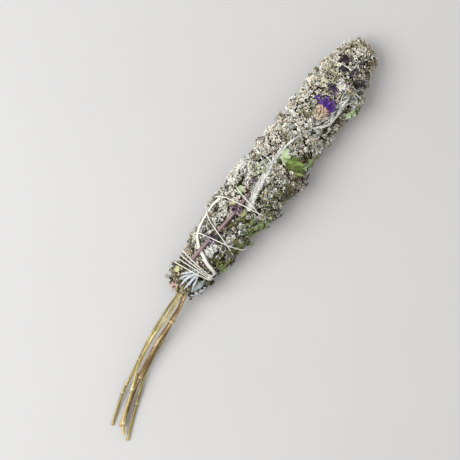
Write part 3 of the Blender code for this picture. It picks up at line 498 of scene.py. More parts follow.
def apart(points, distance):
    """Indices of points, in order, that keep a distance from those taken before."""
    taken, cells = [], {}
    keys = np.floor(points / distance).astype(int)
    around = [(x, y, z) for x in (-1, 0, 1) for y in (-1, 0, 1) for z in (-1, 0, 1)]
    for index, (point, key) in enumerate(zip(points.tolist(), keys.tolist())):
        near = []
        for x, y, z in around:
            near += cells.get((key[0] + x, key[1] + y, key[2] + z), ())
        if all(math.dist(point, other) >= distance for other in near):
            taken.append(index)
            cells.setdefault(tuple(key), []).append(point)
    return np.array(taken)


# Materials


def shader_node(material, kind, **inputs):
    made = material.node_tree.nodes.new("ShaderNode" + kind)
    for name, value in inputs.items():
        made.inputs[name.replace("_", " ")].default_value = value
    return made


def tinted(name, roughness, grain, grain_share, bump_mm, sheen=0.0, stretch=(1, 1, 1)):
    """A finish that takes its colour from the mesh's tint, broken up by fine noise.

    Grain is the noise's scale per metre, and bump its relief in millimetres.
    """
    made = bpy.data.materials.new(name)
    made.use_nodes = True
    shader = made.node_tree.nodes["Principled BSDF"]
    shader.inputs["Sheen Weight"].default_value = sheen
    shader.inputs["Specular IOR Level"].default_value = DRY_GLOSS
    tint = shader_node(made, "Attribute")
    tint.attribute_name = "tint"
    place = shader_node(made, "TexCoord")
    mapping = shader_node(made, "Mapping", Scale=stretch)
    fine = shader_node(made, "TexNoise", Scale=grain, Detail=3.0)
    share = shader_node(made, "MapRange", To_Min=1.0 - grain_share, To_Max=1.0 + grain_share)
    low, high = roughness - ROUGHNESS_RANGE, min(roughness + ROUGHNESS_RANGE, 1.0)
    rough = shader_node(made, "MapRange", To_Min=low, To_Max=high)
    mixed = shader_node(made, "VectorMath")
    mixed.operation = "SCALE"
    bump = shader_node(made, "Bump", Distance=bump_mm * MM)
    for start, output, end, entry in (
        (place, "Object", mapping, "Vector"),
        (mapping, "Vector", fine, "Vector"),
        (fine, "Fac", share, "Value"),
        (fine, "Fac", rough, "Value"),
        (fine, "Fac", bump, "Height"),
        (tint, "Color", mixed, "Vector"),
        (share, "Result", mixed, "Scale"),
        (mixed, "Vector", shader, "Base Color"),
        (rough, "Result", shader, "Roughness"),
        (bump, "Normal", shader, "Normal"),
    ):
        made.node_tree.links.new(start.outputs[output], end.inputs[entry])
    return made


TINT_RANGE = (0.002, 0.95)
DRY_GLOSS = 0.22
ROUGHNESS_RANGE = 0.08
FLORET = tinted("floret_skin", 0.86, 2600.0, 0.22, 0.06, sheen=0.12)
CORE = tinted("inner_stalks_and_shade", 0.95, 1400.0, 0.5, 0.3)
BARK = tinted("stem_bark", 0.58, 900.0, 0.30, 0.05, stretch=(3.0, 0.12, 3.0))
LEAF = tinted("leaf_skin", 0.66, 1100.0, 0.20, 0.10, sheen=0.08)
FELT = tinted("silver_felt", 0.92, 3400.0, 0.14, 0.08, sheen=0.4)
PETAL = tinted("petal_skin", 0.75, 1500.0, 0.22, 0.06, sheen=0.15)
COTTON = tinted("cotton", 0.88, 6000.0, 0.12, 0.03, sheen=0.2)


# Florets: open ones with crumpled rays, buds and spent cups, in domed clumps on the sprays

SAGE, SAGE_PALE = colour(150, 170, 122), colour(196, 210, 172)
STRAW = colour(150, 122, 74)
SILVER, SILVER_SHADE = colour(246, 247, 240), colour(204, 208, 198)
# Colours of the inner stalks; the darker one is partly painted shade between the florets
DEEP_SHADE, DEEP_PALE = colour(38, 34, 20), colour(88, 82, 54)
FLORET_SPACING = 1.8
FLORET_TRIES = 60000
FLORET_SIZE = (1.35, 1.85)
FLORET_DEPTH = 1.15  # how far a floret's middle sits below the top of its spray
LOWEST_FLORET = -5.6  # rise under which florets are left out
CLUMP_SPACING = 7.4
CLUMP_TRIES = 9000
CLUMP_RISE = 1.85
CLUMP_WOBBLE = 1.5
WIDEST_REACH = 21.0  # from the axis, where the most florets are sown
FOOT_CONE = 2.0  # how far the head's foot draws in towards the stems
COVER = 0.95  # how far florets stand over the middle of the thread where it is hidden
COVER_SLOPE = 0.40
COVER_REACH = 5.0
SIDE_COVER = 2.3  # the most that florets rise over the thread at the head's sides
TOP_COVER = 4.0  # and the most that is added to it on top
COVER_SPACING = 1.3  # of the florets sown along the hidden thread
COVER_CLEAR = 1.0  # no florets stand over the thread this near to another piece
STRIP_CLEAR = 5.2  # or to the felted strip
LOOK_DOWN, LOOK_UP = 4.0, 12.0  # where pieces over a floret are looked for
LEFT_LIMIT = -20.5  # across, of the florets at the head's left edge
SPRIG_SHADOW = 3.4  # how far from the sprig its shade darkens the florets
# Hollows among the florets low on the head: along and across from and to, and depth
HOLLOWS_ALONG, HOLLOWS_ACROSS = (26, 68), (-6, 14)
HOLLOW_DEPTH = 1.3


def ray_petal(draw, angle, rise):
    """One crumpled ray of an open floret, share 0 at its foot to 1 at its toothed end."""
    width, length = draw.uniform(0.24, 0.38), draw.uniform(0.5, 0.76)
    twist, curl = draw.uniform(-0.7, 0.7), draw.uniform(-0.25, 0.45)
    rim = [(-0.10, 0.0), (-width, 0.55), (-width * 0.8, 0.95), (0.0, 0.86)]
    rim += [(width * 0.85, 1.0), (width, 0.5), (0.10, 0.0)]
    outline = []
    for x, f in rim:
        x *= draw.uniform(0.85, 1.15)
        outline.append((x, 0.30 + length * f, rise * f - curl * f * f + twist * x))
    middle = np.mean(outline, axis=0)
    dish = draw.uniform(0.04, 0.12)
    outline += [tuple(middle - (0, 0, dish - 0.03)), tuple(middle - (0, 0, dish + 0.05))]
    x, y, z = np.array(outline).T
    c, s = math.cos(angle), math.sin(angle)
    points = np.stack([x * c - y * s, x * s + y * c, z], -1)
    count = len(rim)
    faces = np.concatenate([fan(0, count, count, True), fan(0, count, count + 1)])
    return points, faces, np.array([f for _, f in rim] + [0.45, 0.2])


# Rings of the florets' parts: height, radius and share, which is 0 to 1 along a ray or scale,
# 2 on the disc, 3 on the cup or scales under it, and 4 in a spent cup's hollow, which is painted
# shade
FLORET_CUP = ((-1.3, 0, 3), (-0.9, 0.22, 3), (-0.3, 0.40, 3), (0.0, 0.36, 2.6), (0.16, 0, 2))
FLORET_DISC = ((-0.1, 0, 2.4), (0.04, 0.33, 2.4), (0.24, 0.24, 2.0), (0.3, 0, 1.9))
BUD = ((-1.3, 0, 3), (-0.8, 0.3, 3), (-0.35, 0.52, 3.2), (0.1, 0.56, 3), (0.5, 0.36, 2.5))
BUD += ((0.75, 0, 1),)
SPENT_CUP = ((-1.3, 0, 3), (-0.8, 0.26, 3), (-0.2, 0.50, 3), (0.36, 0.72, 1.0))
SPENT_CUP += ((0.12, 0.42, 4), (-0.02, 0, 4))
CLOSINGS = (0.15, 0.3, 0.5, 0.7, 0.9, 0.4, 0.6, 0.25)  # of the open florets' rays
CLOSED_KINDS = 3  # kinds of bud, and of spent cup
# How often each kind of floret is found in the middle of the head, and at its ends
MIDDLE_CHANCE = np.repeat((0.09, 0.045, 0.05), (len(CLOSINGS), CLOSED_KINDS, CLOSED_KINDS))
ENDS_CHANCE = np.repeat((0.06, 0.10, 0.08), (len(CLOSINGS), CLOSED_KINDS, CLOSED_KINDS))


def open_floret(draw, closing):
    parts = [ovoid(FLORET_CUP, 5, draw, 0.1), ovoid(FLORET_DISC, 5, draw, 0.15)]
    count = draw.integers(4, 7)
    for k in range(count):
        angle = math.tau * (k + draw.uniform(-0.2, 0.2)) / count
        parts.append(ray_petal(draw, angle, closing * draw.uniform(0.4, 1.3)))
    return joined(parts)


def floret_templates(draw):
    made = [open_floret(draw, closing) for closing in CLOSINGS]
    made += [ovoid(BUD, 6, draw, 0.16) for _ in range(CLOSED_KINDS)]
    return made + [ovoid(SPENT_CUP, 7, draw, 0.22) for _ in range(CLOSED_KINDS)]


def floret_tints(shares, ray, disc, cup):
    """Colours of many florets of one template, each with its own three colours."""
    s = shares[None, :, None]
    ray, disc, cup = ray[:, None], disc[:, None], cup[:, None]
    made = cup + (ray - cup) * np.clip(0.25 + s, 0, 1)
    made = np.where(s > 1.5, disc, made)
    made = np.where(s > 2.45, cup, made)
    # A spent cup's hollow gets painted shade
    return np.where(s > 3.5, DEEP_SHADE * 0.7, made)


def scattered(draw, spacing, tries, low=-0.5, high=HEAD_TIP - 0.5):
    """Skin positions all over the head, a distance apart."""
    along = draw.uniform(low, high, tries)
    turn = draw.uniform(-math.pi, math.pi, tries)
    _, _, reach = outward(along, turn)
    keep = draw.uniform(0, 1, tries) < reach / WIDEST_REACH
    along, turn = along[keep], turn[keep]
    taken = apart(on_skin(along, turn), spacing)
    return along[taken], turn[taken]


def ground_rise(along, turn):
    """The sprays' rise, smoothed over their coarse florets, and the spray at each place."""
    total, face = np.zeros(len(along)), np.full(len(along), -1)
    probes = ((0, 0), (1.6, 0), (-1.6, 0), (0, 0.09), (0, -0.09))
    for a, t in probes:
        rise, hit = cast_in(SPRAY_TREE, along + a, turn + t)
        total += np.clip(np.where(np.isnan(rise), -1.6, rise), -1.8, 2.6)
        face = np.where(face < 0, hit, face)
    for i in np.flatnonzero(face < 0):
        face[i] = SPRAY_TREE.find_nearest(Vector(on_skin(along[i], turn[i])))[2]
    return total / len(probes), SPRAY_OWNER[face]


def is_bare(points):
    """Whether points are beside a stretch of thread that lies bare on top."""
    found = np.zeros(len(points), bool)
    for a0, x0, a1, x1 in BARE_THREAD:
        start, way = np.array((x0, a0)), np.array((x1 - x0, a1 - a0))
        f = np.clip((points[:, :2] - start) @ way / (way @ way), 0, 1)
        away = np.linalg.norm(points[:, :2] - start - f[:, None] * way, axis=1)
        found |= (away < BARE_WIDTH) & (points[:, 2] > BARE_FROM)
    return found


def kept_under(along, turn, rise, tall, wide):
    """Rises that leave the pieces on the head in view, and cover the thread that isn't bare."""
    axis, way, reach = outward(along, turn)
    bare = is_bare(on_skin(along, turn))
    out = rise.copy()
    for i in np.flatnonzero(~bare):
        start = Vector(axis[i] + way[i] * (reach[i] + 1.5))
        place, _, _, distance = THREAD_TREE.find_nearest(start, COVER_REACH)
        lying = LYING_TREE.find_nearest(start, COVER_CLEAR)[0]
        strip_near = STRIP_TREE.find_nearest(start, STRIP_CLEAR)[0]
        if place is not None and lying is None and strip_near is None:
            _, _, strand = unskin(np.array(place))
            beside_it = math.sqrt(max(distance**2 - (strand - 1.5) ** 2, 0.0))
            cover = strand + COVER - COVER_SLOPE * beside_it
            out[i] = max(out[i], min(cover, SIDE_COVER + TOP_COVER * abs(math.cos(turn[i]))))
    for i in range(len(along)):
        for tree in (LYING_TREE, THREAD_TREE) if bare[i] else (LYING_TREE,):
            start = axis[i] + way[i] * (reach[i] - LOOK_DOWN)
            hit, _, _, distance = tree.ray_cast(Vector(start), Vector(way[i]), LOOK_UP)
            if hit is not None:
                out[i] = min(out[i], distance - LOOK_DOWN - tall[i] - 0.1)
                continue
            tip = axis[i] + way[i] * (reach[i] + out[i] + 0.4 * tall[i])
            place, _, _, distance = tree.find_nearest(Vector(tip), wide[i])
            if place is not None:
                out[i] -= 1.1 * (wide[i] - distance)
    return out


def inside_left(along, turn, rise):
    """Rises that keep places inside the head's left limit."""
    return rise - np.maximum(LEFT_LIMIT - on_skin(along, turn, rise)[:, 0], 0)


def core(heap, node):
    """The inner stalks that show between florets, darkened partly as painted shade: the spray's
    solid, drawn in.
    """
    points, faces = solid_of(node)
    along, turn, rise = unskin(points)
    axis, way, reach = outward(along, turn)
    outer = reach + rise > 0.62 * reach
    at_foot = FOOT_CONE * (1 - smoothstep(along / 9.0))
    sunk = np.where(outer, np.minimum(rise - 1.3, -2.1) - at_foot, rise)
    points = axis + way * (reach + sunk)[:, None]
    # Dark stalk colour, partly painted shade in the gaps between florets
    heap.add(points, faces, blend(DEEP_SHADE, DEEP_PALE, 0.5 + lumps(points, 1.7, 5)), slot=1)


def clumped(draw, along, turn):
    """For each place: its clump, how far it is from the clump's middle, and the way out of it."""
    centres = on_skin(*scattered(draw, CLUMP_SPACING, CLUMP_TRIES, low=-3, high=HEAD_TIP))
    places = on_skin(along, turn)
    wobble = np.stack([lumps(places, 4.0, seed) for seed in (11, 12, 13)], -1)
    away = np.linalg.norm((places + CLUMP_WOBBLE * wobble)[:, None] - centres[None], axis=2)
    index = away.argmin(1)
    gap = np.partition(away, 1, axis=1)[:, :2]
    edge = np.clip(2 * gap[:, 0] / (gap[:, 0] + gap[:, 1]), 0, 1)  # 1 between two clumps
    return index, edge, places - centres[index], len(centres)


# The clumps' tones, white-grey, beige, olive and brown: colours of ray, disc and cup
TONES = np.array(
    (
        (colour(252, 251, 246), colour(188, 180, 154), colour(206, 206, 190)),
        (colour(248, 241, 230), colour(172, 156, 128), colour(202, 192, 170)),
        (colour(230, 226, 204), colour(146, 134, 102), colour(166, 164, 130)),
        (colour(208, 194, 168), colour(124, 104, 76), colour(146, 130, 102)),
    )
)
TAN_RAY, TAN_SHARE = colour(178, 158, 126), 0.07
# How much of each tone there is along the head
TONE_MIX = spline_through(
    (
        (0, 0.20, 0.25, 0.40, 0.15),
        (25, 0.25, 0.30, 0.33, 0.12),
        (40, 0.56, 0.28, 0.13, 0.03),
        (80, 0.58, 0.32, 0.07, 0.03),
        (120, 0.56, 0.34, 0.07, 0.03),
        (150, 0.40, 0.42, 0.12, 0.06),
        (175, 0.26, 0.44, 0.20, 0.10),
        (207, 0.18, 0.38, 0.34, 0.10),
    )
)
TONE_STEPS = 207
# How bright the florets are along the head
GAIN = spline_through(
    (
        (-5, 0.90), (12, 0.92), (30, 1.04), (60, 1.16), (110, 1.30), (140, 1.36), (170, 1.34),
        (207, 1.30),
    )
)
MOST_BRIGHT = 1.42
LOWER_SIDE_PAINTED_SHADE, LOWER_FOOT_PAINTED_SHADE = 0.46, 0.14  # painted shade of the head's lower right side, and more of it near its foot
EDGE_SHADE, EDGE_SHADE_LOWER = 0.38, 0.26  # between clumps, and more so on the lower right side
HOLLOW_SHADE, FOOT_SHADE, SPRIG_SHADE = 0.65, 0.5, 0.45


def sow(draw):
    """Where florets stand: all over the head, and along the hidden thread."""
    along, turn = scattered(draw, FLORET_SPACING, FLORET_TRIES)
    strand = winding(COVER_SPACING)
    strand = strand[~is_bare(on_rows(strand))]
    count = len(strand)
    beside_it = np.minimum(strand[:, 0] + draw.normal(0, 0.4, count), HEAD_TIP - 0.5)
    turned = strand[:, 1] + draw.normal(0, 0.02, count) + math.pi
    return np.append(along, beside_it), np.append(turn, turned % math.tau - math.pi)


def hollows(along, turn):
    """0 to 1, how deep in one of the dark hollows places are."""
    skin = on_skin(along, turn)
    (a0, a1), (x0, x1) = HOLLOWS_ALONG, HOLLOWS_ACROSS
    made = smoothstep((along - a0) / 6) * smoothstep((a1 - along) / 6) * (np.cos(turn) > 0)
    made = made * smoothstep((skin[:, 0] - x0) / 4) * smoothstep((x1 - skin[:, 0]) / 4)
    return made * smoothstep(0.55 - 2.4 * lumps(skin, 3.6, 41))


def floret_colours(draw, places, along, turn, clump, clumps, edge, hollow):
    """Ray, disc and cup colours: one tone for most of a clump, with strays, and painted shade
    between clumps, in hollows, at the foot, near the sprig and on the lower right side.
    """
    count = len(along)
    mix = np.cumsum(np.maximum(TONE_MIX(np.arange(TONE_STEPS + 1.0)), 0), axis=1)
    mix /= mix[:, -1:]
    row = mix[np.clip(along, 0, TONE_STEPS).astype(int)]
    lower = smoothstep(np.sin(turn) + 0.15)
    clump_pick = draw.uniform(0, 1, clumps)[clump] + 0.22 * lower
    pick = np.where(draw.uniform(0, 1, count) < 0.7, clump_pick, draw.uniform(0, 1, count))
    tone = (pick[:, None] > row).sum(1).clip(0, len(TONES) - 1)
    ray, disc, cup = (TONES[tone, k] for k in range(3))
    bright = draw.uniform(0.66, 1.25, (count, 1))
    bright = bright * draw.uniform(0.88, 1.16, clumps)[clump][:, None]
    near_foot = smoothstep((70 - along) / 20)
    # Painted shade: the lower right side is darkened, more so near the foot
    painted_side_shade = (LOWER_SIDE_PAINTED_SHADE + LOWER_FOOT_PAINTED_SHADE * near_foot) * lower
    bright = np.minimum(bright * (GAIN(along)[:, 0] - painted_side_shade)[:, None], MOST_BRIGHT)
    ray = np.where(draw.uniform(0, 1, (count, 1)) < TAN_SHARE, TAN_RAY, ray)
    shade = 1 - (EDGE_SHADE + EDGE_SHADE_LOWER * lower) * edge**2.2
    at_foot = 1 - smoothstep((along - 10) / 14)
    shade = (shade * (1 - HOLLOW_SHADE * hollow) * (1 - FOOT_SHADE * at_foot))[:, None]
    below = [Vector(place) for place in places - np.array((0, 0, 0.5))]
    close = np.array([SPRIG_TREE.find_nearest(p, SPRIG_SHADOW)[3] or SPRIG_SHADOW for p in below])
    lit = 1 - SPRIG_SHADE + SPRIG_SHADE * smoothstep(close / SPRIG_SHADOW)
    shade = shade * lit[:, None]
    warm = 1 + draw.uniform(-0.05, 0.05, (count, 1)) * np.array((1.0, 0.1, -1.0))
    return ray * bright * shade * warm, disc * shade * bright, cup * shade * bright


def floret_heads(heaps):
    """Fills one heap for each spray: its inner stalks and the florets that cover it."""
    draw = np.random.default_rng(7)
    along, turn = sow(draw)
    clump, edge, off, clumps = clumped(draw, along, turn)
    ground, owner = ground_rise(along, turn)
    count = len(along)
    size = draw.uniform(*FLORET_SIZE, count)
    rise = ground - FLORET_DEPTH + CLUMP_RISE * (1 - edge**2.2) - 0.9 * edge**4
    rise = rise + draw.uniform(-0.45, 0.4, count)
    hollow = hollows(along, turn)
    rise -= HOLLOW_DEPTH * hollow
    rise -= FOOT_CONE * (1 - smoothstep((along + 1.0) / 9.0))
    rise = inside_left(along, turn, kept_under(along, turn, rise, 0.4 * size, 0.5 * size))
    over_stems = (np.abs(on_skin(along, turn)[:, 0] - 2.0) < 6.5) & (np.cos(turn) > 0.2)
    ragged = draw.uniform(0, 1, count) > 0.75 * (1 - smoothstep((along - 1.0) / 8.0))
    keep = (rise > LOWEST_FLORET) & ((along > 4.6) | ~over_stems) & ragged
    along, turn, rise, size, clump, edge, owner, off, hollow = (
        v[keep] for v in (along, turn, rise, size, clump, edge, owner, off, hollow)
    )
    count = len(along)
    places = on_skin(along, turn, rise)
    way = skin_normal(along, turn) + 0.7 * (edge**1.5)[:, None] * unit(off)
    way = unit(way + draw.normal(0, 0.34, (count, 3)) + np.array((0, 0.2, 0)))
    tones = floret_colours(draw, places, along, turn, clump, clumps, edge, hollow)
    templates = floret_templates(draw)
    share = smoothstep((np.abs(along - 90) - 50) / 50)[:, None]
    chance = np.cumsum(MIDDLE_CHANCE * (1 - share) + ENDS_CHANCE * share, axis=1)
    kind = (draw.uniform(0, 1, (count, 1)) * chance[:, -1:] > chance).sum(1)
    frames = frames_of(way, draw.uniform(0, math.tau, count))
    sizes = size[:, None] * draw.uniform(0.88, 1.12, (count, 3))
    for index, node in enumerate(SPRAYS):
        core(heaps[index], node)
        mine = owner == index
        place_florets(heaps[index], templates, kind, mine, places, frames, sizes, tones)
    outcrops(heaps, draw, templates)
    return places, rise, owner


def place_florets(heap, templates, kind, mine, places, frames, sizes, tones):
    """Adds those florets that are mine, each of its own kind."""
    for k, template in enumerate(templates):
        some = mine & (kind == k)
        tints = floret_tints(template[2], *(tone[some] for tone in tones))
        spread(heap, template, places[some], frames[some], sizes[some], tints)


OUTCROP_STALK = ((-4.0, 0, 0), (-3.0, 0.5, 0), (-1.0, 0.7, 0), (0.5, 0.5, 0), (0.9, 0, 0))
# Small clusters that make the head's edge ragged: along, across, height, radius
OUTCROPS = (
    (205.4, -6.4, 13.0, 2.2), (206.6, -4.2, 15.0, 1.7), (202.2, -9.8, 12.0, 2.0),
    (204.4, 3.2, 13.0, 2.0), (205.4, 5.6, 12.5, 1.9), (202.4, 9.8, 12.0, 2.0),
    (200.0, 12.0, 12.0, 1.9), (203.8, 5.8, 12.0, 2.0), (201.0, 9.2, 12.0, 2.1),
    (200.6, 7.2, 12.0, 2.1), (196.2, 11.0, 12.0, 2.0), (190.4, 12.8, 13.0, 1.9),
    (182.2, 14.7, 12.0, 1.8), (198.0, -12.2, 12.0, 1.9), (193.2, -13.6, 13.0, 2.0),
    (186.8, -14.5, 13.0, 1.9), (178.6, -16.7, 13.0, 2.2), (173.0, -17.7, 14.5, 2.2),
    (168.0, -18.2, 13.0, 2.3), (162.5, -17.6, 13.0, 2.2), (144.0, -17.0, 14.0, 1.9),
    (134.8, -18.0, 13.0, 2.2), (131.0, -17.4, 14.0, 1.8), (97.2, -18.6, 14.0, 1.8),
    (141.0, 17.0, 12.0, 2.0), (133.6, 16.8, 12.0, 2.0), (99.2, 19.2, 12.0, 1.8),
    (91.0, 18.8, 12.5, 1.8), (5.4, -10.4, 12.0, 1.7), (3.6, -12.4, 11.0, 1.7),
    (7.6, -13.6, 11.5, 1.8), (12.4, -14.6, 12.0, 1.7), (0.8, -8.8, 11.0, 1.4),
    (8.2, -11.8, 13.0, 1.5), (3.2, 7.6, 11.0, 1.5),
)


def outcrops(heaps, draw, templates):
    for along, across, height, radius in OUTCROPS:
        centre = np.array((across, along, height))
        middle, axis_height, _, _ = head_at(np.array(along))
        out = unit(centre - np.array((middle, min(along, HEAD_TIP - 6.0), axis_height)))
        heap = heaps[SPRAY_OWNER[SPRAY_TREE.find_nearest(Vector(centre))[2]]]
        count = int(5 * radius**2)
        way = unit(draw.normal(0, 0.62, (count, 3)) + out)
        places = centre + way * radius * draw.uniform(0.1, 0.75, (count, 1))
        tone = draw.integers(0, len(TONES), count)
        bright = draw.uniform(0.6, 1.1, (count, 1))
        tones = [TONES[tone, k] * bright for k in range(3)]
        kind = draw.integers(0, len(templates), count)
        sizes = draw.uniform(*FLORET_SIZE, (count, 1)) * draw.uniform(0.7, 1.0, (count, 3))
        frames = frames_of(way, draw.uniform(0, math.tau, count))
        place_florets(heap, templates, kind, kind >= 0, places, frames, sizes, tones)
        stalk = ovoid(OUTCROP_STALK, 6, draw, 0.1)
        upright = frames_of(out[None], np.zeros(1))
        spread(heap, stalk, centre[None], upright, np.full((1, 3), radius), DEEP_PALE, slot=1)


# Loose bits among the florets: flakes, needles, leaflets, curled leaves, buds and twigs


def sheet_faces(rows, columns):
    """Faces of a closed sheet: a grid of points over another of the same order."""
    count = rows * columns
    top = ring_faces(rows, columns, closed=False)
    rim = [np.arange(columns), np.arange(1, rows) * columns + columns - 1]
    rim.append((rows - 1) * columns + np.arange(columns - 2, -1, -1))
    rim.append(np.arange(rows - 2, 0, -1) * columns)
    rim = np.concatenate(rim)
    after = np.roll(rim, -1)
    sides = [np.stack([rim, after, after + count], -1)]
    sides.append(np.stack([rim, after + count, rim + count], -1))
    return np.concatenate([top[:, ::-1], top + count, *sides])


def grid(rows, columns):
    """Places of a sheet's points: along from 0 to 1, and across from -1 to 1."""
    f = np.linspace(0, 1, rows)[:, None] * np.ones(columns)
    return f, np.linspace(-1, 1, columns)[None] * np.ones((rows, 1))


def flake(draw):
    """A crumpled flake about 1 long along z, facing +y."""
    count = 8
    angle = math.tau * (np.arange(count) + draw.uniform(-0.3, 0.3, count)) / count
    radius = draw.uniform(0.32, 0.6, count)
    x, z = 0.7 * radius * np.cos(angle), 0.5 + radius * np.sin(angle)
    rim = np.stack([x, draw.uniform(-0.13, 0.13, count), z], -1)
    fold = draw.uniform(-0.12, 0.12)
    points = np.concatenate([rim, [[0, fold + 0.05, 0.5], [0, fold - 0.05, 0.5]]])
    faces = np.concatenate([fan(0, count, count, True), fan(0, count, count + 1)])
    return points, faces, np.append(draw.uniform(0.4, 1, count), (0.6, 0.3))


def curled(draw, curl, roll, wave):
    """A curled leaf 1 long along z and 1 in half width along x. Shares: its midrib is 0."""
    rows, columns = 9, 7
    f, v = grid(rows, columns)
    off = np.abs(v)
    wide = np.maximum(np.sin(math.pi * np.clip(f, 0.02, 0.98) ** 0.5), 0.06)
    wide = wide * (1 + 0.12 * np.sin(f * 21) * off)
    rippled = wave * np.sin(9 * f + 2 * v + draw.uniform(0, 6)) * off
    y = curl * f**2 + roll * off**1.7 * wide + rippled - 0.05 * np.exp(-((v / 0.15) ** 2))
    over = np.stack([wide * v * (1 - 0.25 * abs(roll) * off), y, f], -1).reshape(-1, 3)
    under = over - np.array((0, 0.035, 0))
    vein = 0.25 * (np.abs(((f * 6 - 0.9 * off) % 1) - 0.5) * 2) ** 6
    shares = np.clip(off**0.6 * 0.8 + 0.25 * f - vein, 0, 1).ravel()
    points = np.concatenate([over, under])
    return points, sheet_faces(rows, columns), np.concatenate([shares, shares])


def skin_frames(along, turn, heading, tilt, facing):
    """Frames that point along the skin at a heading from the tip's way, lifted by tilt."""
    normal = skin_normal(along, turn)
    ahead = unit(on_skin(along + 0.5, turn) - on_skin(along - 0.5, turn))
    way = radials(heading, ahead, np.cross(ahead, normal))
    way = unit(way + normal * tilt[:, None])
    return frames_facing(way, unit(normal + facing))


def pair(*values):
    """A dark and a pale colour."""
    return colour(*values[:3]), colour(*values[3:])


WHITE = colour(246, 246, 240)
PLUM, PLUM_PALE = pair(28, 23, 30, 72, 62, 74)
SILVERY = pair(160, 164, 162, 232, 232, 226)
BROWN = pair(92, 70, 48, 150, 122, 88)
VIVID = pair(66, 36, 120, 134, 92, 200)
